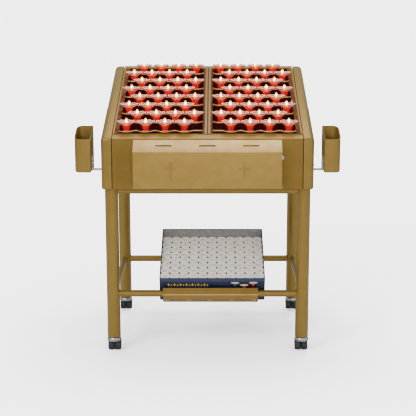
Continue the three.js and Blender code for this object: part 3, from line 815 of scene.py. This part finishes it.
def wavy_flange(x_edge, x_wave, y0, y1, bm):
    """A flange in the sloping plane whose inner edge swells once at every row."""
    steps = 96
    rows = []
    for k in range(steps + 1):
        y = y0 + (y1 - y0) * k / steps
        phase = (y - FIRST_ROW_Y + STRAIGHT_EDGE) / ROW_PITCH
        swell = 3.5 * abs(math.sin(math.pi * phase)) ** 0.7
        x = x_wave + (swell if x_wave < x_edge else -swell)
        rows.append([bm.verts.new((px, y, top_z(y) - drop)) for px, drop in
                     ((x_edge, 0), (x, 0), (x, 1.5), (x_edge, 1.5))])
    for near, far in zip(rows, rows[1:]):
        walled(bm, near, far)
    bm.faces.new(rows[0][::-1])
    bm.faces.new(rows[-1])


def mirrored(bm, sx):
    """The same piece for the left side, faces kept outwards."""
    if sx < 0:
        bm.transform(Matrix.Scale(-1, 4, (1, 0, 0)))
        bmesh.ops.reverse_faces(bm, faces=bm.faces)
    return bm


def trays():
    y0, y1 = TRAY_LOW.y, TRAY_HIGH.y
    x_in, x_out = TRAY_LOW.x, TRAY_HIGH.x
    x0, x1 = STEP_INNER, STEP_OUTER
    for side, sx in SIDES:
        body = f"tray_{side}"
        steps = bmesh.new()
        for row in range(ROWS):
            back = y1 - 0.5 if row == LAST_ROW else row_y(row + 1) - STRAIGHT_EDGE + 4
            plate(scallops(row, x0, x1), back, tread_z(row), TRAY_SHEET, steps)
            foot = tread_z(row) - 14 if row == 0 else tread_z(row - 1)
            riser = row_y(row) - STRAIGHT_EDGE + 3
            block(x0, x1, riser, riser + TRAY_SHEET, foot - TRAY_SHEET, tread_z(row) - 1.4, steps)
        for x in (x0 - 0.75, x1 + 0.75):
            prism_x([(y0 + 1, top_z(y0) - 24), (y1 - 1, top_z(y1) - 34), (y1 - 1, top_z(y1) - 1.6),
                     (y0 + 1, top_z(y0) - 1.6)], x - 0.75, x + 0.75, steps)
        bmesh.ops.recalc_face_normals(steps, faces=steps.faces)
        # The steps take the near-black enamel: painted shade under the treads and between the cups, with a
        # red painted reflection of the cups.
        piece(f"tray_steps_{side}", mirrored(steps, sx), [ENAMEL_AND_SHADE], 30, body,
              (f"candle_tray_{side}",))

        pads = bmesh.new()
        wavy_flange(x_out - 7, x1, y0, y1, pads)
        wavy_flange(x_in + 8, x0, y0, y1, pads)
        block(x0, x1, y0 + 1.5, 66, tread_z(0) - 15.5, tread_z(0) - 14, pads)
        bmesh.ops.recalc_face_normals(pads, faces=pads.faces)
        # The pads take the warmer, darker coat: painted shade of the cups and painted glow of the flames.
        piece(f"tray_flange_pads_{side}", mirrored(pads, sx), [PAD], 30, body)

        frame_strip = bmesh.new()
        for a, b in ((x_out - 7.5, x_out), (x_in, x_in + 8.5)):
            prism_x([(y0, top_z(y0) - 1.6), (y1, top_z(y1) - 1.6), (y1, top_z(y1) + 0.4),
                     (y0, top_z(y0) + 0.4)], a, b, frame_strip)
        block(x_in, x_out, y0, y0 + 1.5, tread_z(0) - 15.5, top_z(y0) + 0.2, frame_strip)
        bmesh.ops.recalc_face_normals(frame_strip, faces=frame_strip.faces)
        piece(f"tray_border_{side}", mirrored(frame_strip, sx), [GOLD], 30, body)

        back_plate = bmesh.new()
        foot = tread_z(LAST_ROW)
        prism_x([(y1 - 1.6, foot), (y1, foot), (y1, top_z(y1)), (y1 - 1.6, top_z(y1))], x0, x1, back_plate)
        # The back plate takes the same warmer, darker coat: painted shade and painted glow of the flames.
        piece(f"tray_back_plate_{side}", mirrored(back_plate, sx), [PAD], 30, body)

        # A dark enamel patch stands behind each cup of the last row: painted shade, not a part of the tray.
        shade_patches = bmesh.new()
        for i in range(CUPS_PER_ROW):
            x = ROW_START[1] + i * CUP_PITCH
            block(max(x - 31, x0), min(x + 31, x1), y1 - 2.4, y1 - 1.5, tread_z(LAST_ROW) + 0.2,
                  top_z(y1) - 7, shade_patches)
        piece(f"tray_back_notches_{side}", mirrored(shade_patches, sx), [ENAMEL_AND_SHADE], 30, body)

        # The rolled rims take the bright gold: a painted highlight along each rim.
        lines = []
        for row in range(ROWS):
            line = scallops(row, x0, x1)
            lift = [3.4 * min(1.0, max(0.0, (y - row_y(row) + SEAT_FRONT) / SEAT_DEPTH)) for _, y in line]
            lines.append([(sx * x, y + 0.5, tread_z(row) + 1.2 + up) for (x, y), up in zip(line, lift)])
        rolled(f"tray_rolled_rims_{side}", lines, 2.3, HIGHLIGHT_GOLD, body)


# ------------------------------------------------------------------ cups


def scalloped(radius, z, angle):
    """The saucer of a cup ripples in eight petals towards its rim."""
    grow = max(0.0, (radius - 24) / 16)
    return radius * (1 + 0.03 * grow * math.cos(8 * angle)), z + 1.3 * grow * math.cos(8 * angle)


def cup_parts():
    """The parts of one lit votive cup, standing on z = 0, each with its finish and slot."""
    foot = lathe([(0, 0), (16, 0), (16.5, 1), (15.5, 2.6), (12.4, 3.6), (0, 3.6)], 20)
    saucer = lathe([(19, 27), (22.5, 28.6), (27, 31.6), (32, 35.8), (36.6, 40.4), (39, 43.4), (38.2, 44.2),
                    (35.6, 41.4), (31, 37.2), (26, 33), (22, 30.2), (19, 28.6), (19, 27)], 32, wave=scalloped)
    rim = lathe([(38.3, 43.6), (39.4, 43.2), (40.2, 44.2), (39.6, 45.3), (38.6, 45.2), (38.3, 43.6)], 32,
                wave=scalloped)
    bowl = lathe([(0, 3.7), (12.3, 3.7), (14, 10), (17, 20), (19.4, 28.4), (17.6, 28.4), (15.2, 20),
                  (12.4, 10), (11, 6.4), (0, 6.4)], 24)
    wax = lathe([(0, 22), (15.2, 22), (16.4, 25.4), (13, 26.6), (6, 26), (0, 26.2)], 16)
    wick = lathe([(0, 25.8), (0.9, 25.8), (0.8, 35), (0, 35.4)], 6)
    light = lathe([(0, 32), (2.8, 33.4), (4.6, 37), (5, 41), (4.2, 46), (2.5, 51), (1, 54.4), (0, 55.6)], 12)
    veil = lathe([(0, 29.5), (4.5, 31), (7.8, 35.5), (8.8, 41), (7.4, 48), (4.6, 54.5), (1.8, 59),
                  (0, 60.4)], 14)
    return {"clear_glass": (merged(foot, saucer), CLEAR, "red_glass"), "rims": (rim, EDGE_HIGHLIGHT, "red_glass"),
            "bowls": (bowl, RUBY, "red_glass"), "lit_wax": (wax, LIT_WAX, "candle_wax"),
            "wicks": (wick, CHAR, "candle_wax"), "flames": (light, FLAME, "candle_wax"),
            "flame_veils": (veil, VEIL, "candle_wax")}


def cups():
    masters = {}
    for label, (bm, material, slot) in cup_parts().items():
        bmesh.ops.remove_doubles(bm, verts=bm.verts, dist=0.001)
        masters[label] = (plain(label, moved(bm, Matrix.Scale(0.001, 4))), material, slot)
    for side, sx in SIDES:
        first = Vector((sx * ROW_START[0], FIRST_ROW_Y + FRONT, FIRST_TREAD_Z + 0.4)) / 1000
        for label, (master, material, slot) in masters.items():
            obj = grown(f"cup_{label}_{side}", ROWS_TREE, {
                "Thing": master, "Rows": ROWS, "Per Row": CUPS_PER_ROW, "Pitch": sx * CUP_PITCH / 1000,
                "Row Step": (0, ROW_PITCH / 1000, ROW_RISE / 1000), "First": first,
                "Shift": sx * (ROW_START[1] - ROW_START[0]) / 1000, "Turn": 1.0, "Finish": material})
            stands_for = (f"votive_cups_{side}",) if label == "bowls" else ()
            dress(obj, [material], 40, f"tray_{side}", stands_for)
    for master, _, _ in masters.values():
        bpy.data.objects.remove(master)


# ------------------------------------------------------------------ coin box


def cross_outline(height, width, arm, flare):
    """Half-width steps of a Latin cross with slightly flared ends, as (x, z) points."""
    h, w, a, f = height / 2, width / 2, arm / 2, flare / 2
    bar = height * 0.17  # the crossbar sits above the middle
    right = [(f, -h), (a, -h + 8), (a, bar - a), (w - 8, bar - a), (w, bar - f), (w, bar + f),
             (w - 8, bar + a), (a, bar + a), (a, h - 8), (f, h)]
    return right + [(-x, z) for x, z in reversed(right)]


def coin_box():
    low, high = node_box("coin_box_cover")
    half = high.x
    sheet = 1.2
    face_top, back_top = 939.0, high.z
    path = [(low.y + sheet / 2, low.z), (low.y + sheet / 2, face_top), (high.y, back_top - sheet / 2)]
    cover = folded(path, sheet, -half, half, 6.0)
    for sx in (-1, 1):
        end = [(low.y + 0.8, low.z), (high.y, low.z), (high.y, back_top - 1.2), (low.y + 0.8, face_top - 1)]
        prism_x(end, sx * half, sx * (half - sheet), cover)
    obj = plain("coin_cover_work", cover)
    slope = math.atan2(back_top - face_top, high.y - low.y)
    middle = Vector((0, (low.y + high.y) / 2, (face_top + back_top) / 2))
    cutter = bmesh.new()
    for i in (-1, 0, 1):
        slot = block(-36, 36, -3.5, 3.5, -6, 6)
        place = Matrix.Translation(middle + Vector((i * 190, 0, 0))) @ Matrix.Rotation(slope, 4, "X")
        cutter = merged(cutter, moved(slot, place))
    tool = plain("slot_cutter", cutter)
    cut = obj.modifiers.new("slots", "BOOLEAN")
    cut.operation = "DIFFERENCE"
    cut.object = tool
    cut.solver = "EXACT"
    bm = taken_back(settle(obj))
    bpy.data.objects.remove(tool)

    def finish_of(centre, normal):
        """The front takes the lighter gold as painted light, the fold and the sloping lid take the bright
        gold as a painted highlight, and the inside is brown-black paint that is also painted shade behind the
        slots.
        """
        if normal.y < -0.6 and 0.12 < normal.z < 0.72:
            return 1
        return 2 * int(normal.y > 0.5 or normal.z < -0.3 or centre.x * normal.x < -1)

    piece("coin_cover_sheet", bm, [LIT_GOLD, HIGHLIGHT_GOLD, DARK], 35, "coin_cover",
          ("coin_box_cover",), finish_of)

    crosses = bmesh.new()
    for x in (-160, 160):
        outline = cross_outline(75, 51, 6.5, 10)
        ridge = cross_outline(72.4, 48.4, 3.4, 6.4)
        back = [crosses.verts.new((x + px, low.y + 0.2, 853 + pz)) for px, pz in outline]
        front = [crosses.verts.new((x + px, low.y - 2.4, 853 + pz)) for px, pz in ridge]
        walled(crosses, back, front)
        crosses.faces.new(back)
        crosses.faces.new(front)
    bmesh.ops.recalc_face_normals(crosses, faces=crosses.faces)
    # The crosses take the same lighter gold as the front of the cover: painted light.
    piece("embossed_crosses", crosses, [LIT_GOLD], 15, "coin_cover")

    lock_low, lock_high = node_box("coin_box_lock")
    y, z = (lock_low.y + lock_high.y) / 2, (lock_low.z + lock_high.z) / 2
    x0 = half + 0.3
    head = lathe([(0, lock_low.x), (7.8, lock_low.x), (7.8, x0), (9.8, x0), (9.8, x0 + 6.5), (8.6, x0 + 8.6),
                  (6, x0 + 8.6), (5.6, x0 + 7.6), (0, x0 + 7.6)], 40)
    piece("coin_lock_barrel", moved(head, Matrix.Translation((0, y, z)) @ TO_X), [STEEL], 35, "coin_lock",
          ("coin_box_lock",))
    # The keyway is a thin black patch on the end of the barrel: painted shade for its slot, not a cut.
    key = block(x0 + 7.5, x0 + 7.9, y - 0.9, y + 0.9, z - 4, z + 4)
    piece("coin_lock_keyway", key, [NYLON], 35, "coin_lock")


# ------------------------------------------------------------------ side pockets


def pocket_plan(low, high, inset, steps=8):
    """Plan outline of a pocket: rounded at its two outer corners, nearly square inside."""
    radius = 24 - inset
    x0, x1 = low.x + inset, high.x - inset
    y0, y1 = low.y + inset, high.y - inset
    points = [(x0, y0 + 3), (x0 + 1, y0 + 1), (x0 + 3, y0)]
    for cx, cy, start in ((x1 - radius, y0 + radius, -90), (x1 - radius, y1 - radius, 0)):
        for k in range(steps + 1):
            a = math.radians(start + 90 * k / steps)
            points.append((cx + radius * math.cos(a), cy + radius * math.sin(a)))
    return points + [(x0 + 3, y1), (x0 + 1, y1 - 1), (x0, y1 - 3)]


def pockets():
    for side, sx in SIDES:
        low, high = node_box("side_pocket_right")
        rim = 981.0
        rise = (high.z - rim) / (high.y - low.y)
        bm = bmesh.new()
        rings = []
        bend = 7.0
        for k in range(5):
            a = math.pi / 2 * k / 4
            inset = bend * (1 - math.sin(a))
            z = low.z + bend * (1 - math.cos(a))
            rings.append([bm.verts.new((x, y, z)) for x, y in pocket_plan(low, high, inset)])
        plan = pocket_plan(low, high, 0)
        rings.append([bm.verts.new((x, y, rim + (y - low.y) * rise)) for x, y in plan])
        for one, two in zip(rings, rings[1:]):
            walled(bm, one, two)
        bm.faces.new(rings[0][::-1])
        obj = plain("pocket_work", bm)
        wall = obj.modifiers.new("wall", "SOLIDIFY")
        wall.thickness = 2
        wall.offset = -1
        bm = taken_back(settle(obj))
        piece(f"pocket_shell_{side}", mirrored(bm, sx), [GOLD], 40, "stand",
              (f"side_pocket_{side}",))
        edge = [(x, y, rim + (y - low.y) * rise) for x, y in pocket_plan(low, high, 1.0)]
        edge.append(edge[0])
        rolled(f"pocket_rolled_rim_{side}", [[(sx * x, y, z) for x, y, z in edge]], 1.7, GOLD, "stand")

        b_low, b_high = node_box("pocket_bracket_right")
        strap = [(b_low.x + 1.25, b_low.z + 34), (b_low.x + 1.25, b_low.z + 1.25),
                 (b_high.x - 1.25, b_low.z + 1.25), (b_high.x - 1.25, b_high.z)]
        outline = sheet_outline(rounded(strap, 4), 2.5)
        bm = prism_x([(x, z) for x, z in outline], b_low.y, b_high.y)
        swap = Matrix(((0, 1, 0, 0), (1, 0, 0, 0), (0, 0, 1, 0), (0, 0, 0, 1)))
        bm.transform(swap)
        bmesh.ops.reverse_faces(bm, faces=bm.faces)
        y_mid = (b_low.y + b_high.y) / 2
        for x, z, out in ((b_low.x + 2.5, b_low.z + 22, 1), (b_high.x - 2.5, b_low.z + 30, -1)):
            bolt = lathe([(0, 0), (5, 0), (5, 3), (4, 4), (0, 4)], 6)
            place = Matrix.Translation((x, y_mid, z)) @ Matrix.Rotation(out * math.pi / 2, 4, "Y")
            bm = merged(bm, moved(bolt, place))
        piece(f"pocket_strap_{side}", mirrored(bm, sx), [STRAP], 30, "stand",
              (f"pocket_bracket_{side}",))


# ------------------------------------------------------------------ shelf, carton, candles

TILT = math.radians(18.6)
RAIL_HEIGHT = 272.0
RAIL_REACH = RAIL_RADIUS + 0.52  # front of the carton from the middle of the front rail
CARTON_DROP = 45.5  # foot of the carton below that rail, down its front
FOOT = Vector((LEG_Y[0] + RAIL_REACH * math.cos(TILT) + CARTON_DROP * math.sin(TILT),
               RAIL_HEIGHT + RAIL_REACH * math.sin(TILT) - CARTON_DROP * math.cos(TILT)))
CARTON_DEPTH = 346.0
CARTON_FRONT = 118.5
CARTON_BACK = 160.0
CANDLE_FOOT = 3.3
CANDLE_TOP = CANDLE_FOOT + 114.0
SHADOW_DEPTH = 5.0
CARTON_X = sum(c.x for c in node_box("candle_carton")) / 2
CARTON_HALF = (node_box("candle_carton")[1].x - node_box("candle_carton")[0].x) / 2


def along(u, w):
    """(y, z) of a point u up the carton's base and w above it."""
    return (FOOT.x + u * math.cos(TILT) - w * math.sin(TILT),
            FOOT.y + u * math.sin(TILT) + w * math.cos(TILT))


def shelf():
    low, high = node_box("candle_shelf")
    rail_z = RAIL_HEIGHT
    hook = LEG_Y[0] - RAIL_RADIUS - 7
    path = [(hook + 14, rail_z + 27), (hook, rail_z), (hook + 24, rail_z - 28), along(-6, -7.3),
            along(12, -1.3), along(CARTON_DEPTH + 6, -1.3)]
    bm = folded(path, 2, low.x, high.x, 3.5)
    middle = (low.x + high.x) / 2
    for i in range(-2, 3):
        tab = bmesh.new()
        x = middle + i * 98.0
        y, z = hook + 24.5, rail_z - 28.0
        profile = [(-12.5, 0), (12.5, 0), (12.5, -4), (10.5, -7), (6, -8.5), (-6, -8.5), (-10.5, -7),
                   (-12.5, -4)]
        ends = [[tab.verts.new((x + px, y + d, z + pz)) for px, pz in profile] for d in (-1.2, 1.2)]
        walled(tab, *ends)
        tab.faces.new(ends[0])
        tab.faces.new(ends[1])
        bmesh.ops.recalc_face_normals(tab, faces=tab.faces)
        bm = merged(bm, tab)

    def finish_of(centre, normal):
        """The lip is darker above its fold, paler below it and bright on it: painted shade, painted light and
        a painted highlight; the rest is plain gold.
        """
        if centre.y > hook + 26:
            return 0
        if abs(centre.z - rail_z) <= 2:
            return 3
        return 1 if centre.z > rail_z else 2

    piece("shelf_sheet", bm, [GOLD, SHADED_GOLD, LIT_GOLD, HIGHLIGHT_GOLD], 35, "stand",
          ("candle_shelf",), finish_of)
    lift = 1.3
    stay = [along(CARTON_DEPTH - 40, -2 * lift - 2), along(CARTON_DEPTH + 2, -2 * lift - 3.3),
            (LEG_Y[1] - 4, rail_z + RAIL_RADIUS + 14), (LEG_Y[1] + RAIL_RADIUS + 2, rail_z + RAIL_RADIUS + 2),
            (LEG_Y[1] + RAIL_RADIUS + 2, rail_z - 8)]
    for side, _ in SIDES:
        s_low, s_high = node_box(f"shelf_stay_{side}")
        bm = folded(stay, 3, s_low.x, s_high.x, 5)
        piece(f"shelf_stay_bar_{side}", bm, [GOLD], 35, "stand", (f"shelf_stay_{side}",))


def tilted_box(x0, x1, u0, u1, w0, w1, bm=None):
    """A box in the carton's tilted frame."""
    outline = [along(u0, w0), along(u1, w0), along(u1, w1), along(u0, w1)]
    return prism_x(outline, CARTON_X + x0, CARTON_X + x1, bm)


def carton_wall_top(u):
    """Height of the carton's side walls above its base at a distance u from the front."""
    return CARTON_FRONT + (CARTON_BACK - CARTON_FRONT) * u / CARTON_DEPTH


def carton_walls(wall):
    """The four thin walls of the carton; the tops of its sides slope down to the front."""
    bm = bmesh.new()
    half, depth = CARTON_HALF, CARTON_DEPTH
    for x0, x1, a, b in ((-half, -half + wall, 0, depth), (half - wall, half, 0, depth),
                         (-half + wall, half - wall, 0, wall),
                         (-half + wall, half - wall, depth - wall, depth)):
        side = [along(a, 0), along(b, 0), along(b, carton_wall_top(b)), along(a, carton_wall_top(a))]
        prism_x(side, CARTON_X + x0, CARTON_X + x1, bm)
    return bm


def carton():
    h, d, board = CARTON_HALF, CARTON_DEPTH, 1.5
    outside = carton_walls(board)
    tilted_box(-h + board, h - board, board, d - board, 0, board, outside)
    piece("carton_outside", outside, [NAVY], 30, "carton", ("candle_carton",))
    # The grey inside of the board is drawn on the rear wall only; the insides of the side walls keep the navy
    # as painted shade.
    lining = prism_x([along(d - 3, 1.6), along(d - 1.6, 1.6), along(d - 1.6, carton_wall_top(d) - 0.6),
                      along(d - 3, carton_wall_top(d) - 0.8)], CARTON_X - h + 1.6, CARTON_X + h - 1.6)
    piece("carton_lining", lining, [GREY], 30, "carton")
    band = bmesh.new()
    flat_on_front([(-h + 1, CARTON_FRONT - 1), (h - 1, CARTON_FRONT - 1), (h - 1, CARTON_FRONT - 19),
                   (-h + 1, CARTON_FRONT - 19)], 0.3, band)
    piece("carton_pale_band", band, [PALE_NAVY], 30, "carton")

    lozenges = bmesh.new()
    for i in range(14):
        x, w = -h + 40 + i * 13.5, 82 - (2.5 if i % 2 else 0)
        size = 4.6 if i % 2 else 6.4
        ring = [(x, w + size * 1.35), (x + size * 0.8, w), (x, w - size * 1.35), (x - size * 0.8, w)]
        flat_on_front(ring, 0.5, lozenges)
    piece("carton_gold_lozenges", lozenges, [GOLD_INK], 30, "carton")
    ground = bmesh.new()
    flat_on_front([(h - 152, 98), (h - 38, 98), (h - 38, 40), (h - 152, 40)], 0.3, ground)
    piece("carton_picture_ground", ground, [BROWN_INK], 30, "carton")
    dishes, reds, blues = bmesh.new(), bmesh.new(), bmesh.new()
    for k, (x, w, glow) in enumerate(((h - 134, 93, blues), (h - 93, 81, reds), (h - 52, 94, reds))):
        dish = [(x + 19 * math.cos(a), w + 4.5 * math.sin(a)) for a in
                (2 * math.pi * j / 20 for j in range(20))]
        flat_on_front(dish, 0.7 + 0.1 * k, dishes)
        flat_on_front([(x - 8, w - 4), (x + 8, w - 4), (x + 4, w - 18), (x - 4, w - 18)], 0.6, glow)
    piece("carton_picture_dishes", dishes, [CREAM_INK], 30, "carton")
    piece("carton_picture_red_cups", reds, [RED_INK], 30, "carton")
    piece("carton_picture_blue_cup", blues, [BLUE_INK], 30, "carton")


def flat_on_front(points, proud, bm):
    """A thin printed patch on the carton's front, from (x, height up the front) points."""
    near = [bm.verts.new((CARTON_X + x, *along(-proud, w))) for x, w in points]
    far = [bm.verts.new((CARTON_X + x, *along(0.2, w))) for x, w in points]
    caps = [bm.faces.new(near), bm.faces.new(far)]
    bmesh.ops.recalc_face_normals(bm, faces=caps + walled(bm, near, far))


def pressed_together(radius, z, angle):
    """Soft candles packed side by side are squeezed a little square."""
    power = 3.0  # 2 is round, more is squarer
    return radius / (abs(math.cos(angle)) ** power + abs(math.sin(angle)) ** power) ** (1 / power), z


def spare_candles():
    columns, rows = 11, 8
    inner_w, inner_d = 2 * CARTON_HALF - 3.4, CARTON_DEPTH - 2 * CANDLE_FOOT
    pitch_x, pitch_u = inner_w / columns, inner_d / rows
    radius = pitch_u / 2
    tall = CANDLE_TOP - CANDLE_FOOT
    candle = lathe([(0, 0), (radius, 0), (radius, tall - 1), (radius - 1, tall), (radius - 7, tall),
                    (radius - 9, tall - 1), (0, tall - 1.4)], 28, wave=pressed_together)
    moved(candle, Matrix.Scale(pitch_x / pitch_u, 4, (1, 0, 0)))
    wick = swept([(0, 0, tall - 2), (0.5, 0, tall + 0.6), (4, 0.6, tall + 1.2), (11, 1.6, tall + 1.1),
                  (19, 1.2, tall + 0.9)], 1.3, 6)
    y, z = along(CANDLE_FOOT + pitch_u / 2, CANDLE_FOOT)
    first = Vector((CARTON_X - inner_w / 2 + pitch_x / 2, y + FRONT, z)) / 1000
    step = (0, pitch_u * math.cos(TILT) / 1000, pitch_u * math.sin(TILT) / 1000)
    half = pitch_x * columns / 2
    # A dark block a little lower than the candles stands in for the shadow in the gaps between them.
    gap_shadow = tilted_box(-half, half, 3.5, CARTON_DEPTH - 3.5, CANDLE_FOOT, CANDLE_TOP - SHADOW_DEPTH)
    piece("candle_shadow_layer", gap_shadow, [DARK], 30, "carton")
    for label, bm, material in (("candles", candle, WAX), ("candle_wicks", wick, WICK)):
        bmesh.ops.recalc_face_normals(bm, faces=bm.faces)
        master = plain(label + "_master", moved(bm, Matrix.Scale(0.001, 4)))
        obj = grown(f"packed_{label}", ROWS_TREE, {
            "Thing": master, "Rows": rows, "Per Row": columns, "Pitch": pitch_x / 1000, "Row Step": step,
            "First": first, "Shift": 0.0, "Turn": 0.0 if label == "candles" else 1.0, "Tilt": TILT,
            "Finish": material})
        bpy.data.objects.remove(master)
        dress(obj, [material], 40, "carton", ("spare_candles",) if label == "candles" else ())


# ------------------------------------------------------------------ casters


def ringed(name, thing, count, radius, alternate, material):
    """A mesh of copies of one thing, in mm, round a circle of a given radius in mm."""
    master = plain(name + "_master", moved(thing, Matrix.Scale(0.001, 4)))
    obj = grown(name, RING_TREE, {"Thing": master, "Count": count, "Radius": radius / 1000,
                                  "Alternate": alternate, "Finish": material})
    mesh = obj.data
    bpy.data.objects.remove(obj)
    bpy.data.objects.remove(master)
    return mesh


def copied(name, mesh, matrix, material, body):
    """A copy of a finished mesh, carried to its place, as a piece of a caster."""
    own = mesh.copy()
    own.name = name
    own.transform(matrix)
    obj = bpy.data.objects.new(name, own)
    bpy.context.scene.collection.objects.link(obj)
    return dress(obj, [material], 30, body)


TRAIL = 20.0  # axle behind the swivel line
CROWN_RADIUS = 30.5
WHEEL_OFFSET = 15.0  # middle of a wheel from the middle of the caster


def caster_fork(top):
    """Crown, stem and the hood over the wheels, round the swivel line."""
    rim = CROWN_RADIUS
    crown = lathe([(0, 51.8), (24, 51.8), (29.5, 52.4), (rim, 54), (rim, 60), (29.4, 63.5), (26, top),
                   (0, top)], 48)
    stem = lathe([(0, top - 1), (5.5, top - 1), (5.5, 90), (4.5, 91), (0, 91)], 20)
    hood = [(TRAIL + radius * math.cos(math.radians(a)), 25 + radius * math.sin(math.radians(a)))
            for radius, angles in ((28.4, range(-10, 76, 5)), (26.6, range(75, -11, -5))) for a in angles]
    return merged(crown, stem, prism_x(hood, -27.5, 27.5))


def caster_wheel():
    """One wheel round its axle, with dished sides."""
    half = [(3.3, 12.5), (9, 12.5), (10, 11.5), (18, 11.5), (19.5, 12.5), (22, 12.5), (24, 10.9), (24.6, 8)]
    profile = [(r, -z) for r, z in half] + half[::-1]
    return lathe(profile + profile[:1], 48)


def casters():
    ribs = ringed("wheel_ribs", block(-0.9, 0.6, -0.9, 0.9, -10.4, 10.4), 36, 24.4, 0.0, RIB)
    triangle = bmesh.new()
    faces = [[triangle.verts.new((x, y, z)) for y, z in ((-5, -3), (5, -3), (0, 3.4))] for x in (-0.7, 0.35)]
    triangle.faces.new(faces[0][::-1])
    triangle.faces.new(faces[1])
    walled(triangle, *faces)
    windows = ringed("crown_windows", triangle, 14, 30.4, 1.0, NYLON)
    for name in CORNERS:
        low, high = node_box(f"caster_{name}_axle")
        axle = (low + high) / 2
        top = node_box(f"caster_{name}_socket")[0].z - 0.3
        swivel_y = axle.y - TRAIL
        centre = Matrix.Translation((axle.x, swivel_y, 0))
        piece(f"caster_crown_{name}", moved(caster_fork(top), centre), [ZINC], 40, f"swivel_{name}",
              (f"caster_{name}_fork",))
        web = moved(block(-1.6, 1.6, -8, 47, 15, 55), centre)
        piece(f"caster_web_{name}", web, [NYLON], 40, f"swivel_{name}")
        spot = Matrix.Translation((axle.x / 1000, (swivel_y + FRONT) / 1000, 0.0575))
        copied(f"caster_crown_windows_{name}", windows, spot, NYLON, f"swivel_{name}")
        for wheel_side, sx in SIDES:
            place = Matrix.Translation((axle.x + sx * WHEEL_OFFSET, axle.y, axle.z)) @ TO_X
            piece(f"caster_wheel_tyre_{name}_{wheel_side}", moved(caster_wheel(), place), [NYLON], 30,
                  f"wheel_{name}_{wheel_side}", (f"caster_{name}_wheel_{wheel_side}",))
            spot = Matrix.Translation((0, FRONT / 1000, 0)) @ Matrix.Translation(place.translation / 1000)
            copied(f"caster_wheel_ribs_{name}_{wheel_side}", ribs, spot @ TO_X, RIB,
                   f"wheel_{name}_{wheel_side}")
    for mesh in (ribs, windows):
        bpy.data.meshes.remove(mesh)


# ------------------------------------------------------------------ studio


BACKDROP_LIGHT = 4.0  # seen by the camera only
ROOM_LIGHT = 0.55  # falls on the object from all round


def studio():
    floor = plain("studio_floor", block(-6000, 6000, -6000, 9000, -20, 0))
    floor.data.transform(Matrix.Scale(0.001, 4))
    paper, _, _ = finish_named("white_studio_paper", "#F7F7F6", 0.9)
    floor.data.materials.append(paper)
    floor.is_shadow_catcher = True
    world = bpy.data.worlds.new("studio")
    world.use_nodes = True
    tree = world.node_tree
    seen = add(tree, "ShaderNodeLightPath").outputs["Is Camera Ray"]
    strength = add(tree, "ShaderNodeMath", {"operation": "MULTIPLY_ADD"},
                   {0: seen, 1: BACKDROP_LIGHT, 2: ROOM_LIGHT})
    backdrop = tree.nodes["Background"]
    backdrop.inputs["Color"].default_value = linear("#FFFFFF")
    tree.links.new(strength.outputs[0], backdrop.inputs["Strength"])
    bpy.context.scene.world = world
    for name, place, size, power in (
            ("key_light", (-2.2, -3.0, 3.2), 1.6, 62), ("fill_light", (2.8, -2.6, 2.0), 2.2, 20),
            ("top_light", (0.1, 0.6, 3.9), 2.2, 75), ("low_light", (0.2, -3.6, 1.45), 1.4, 18)):
        data = bpy.data.lights.new(name, "AREA")
        data.energy = power
        data.size = size
        light = bpy.data.objects.new(name, data)
        light.location = place
        aim = Vector((0, 0, 0.35 if name == "low_light" else 0.8))
        light.rotation_euler = (aim - Vector(place)).to_track_quat("-Z", "Y").to_euler()
        bpy.context.scene.collection.objects.link(light)


def camera():
    data = bpy.data.cameras.new("studio_camera")
    data.sensor_width = 36
    data.lens = 84.49
    data.shift_x = -0.0178
    data.shift_y = -0.10
    obj = bpy.data.objects.new("studio_camera", data)
    obj.location = (0.0345, -4.5219, 1.6271)
    obj.rotation_euler = (math.radians(90 - 10.27), 0, 0)
    bpy.context.scene.collection.objects.link(obj)
    bpy.context.scene.camera = obj


camera()
legs()
rails()
cheeks()
panels()
paint_frame_nodes()
trays()
cups()
coin_box()
pockets()
shelf()
carton()
spare_candles()
casters()
studio()
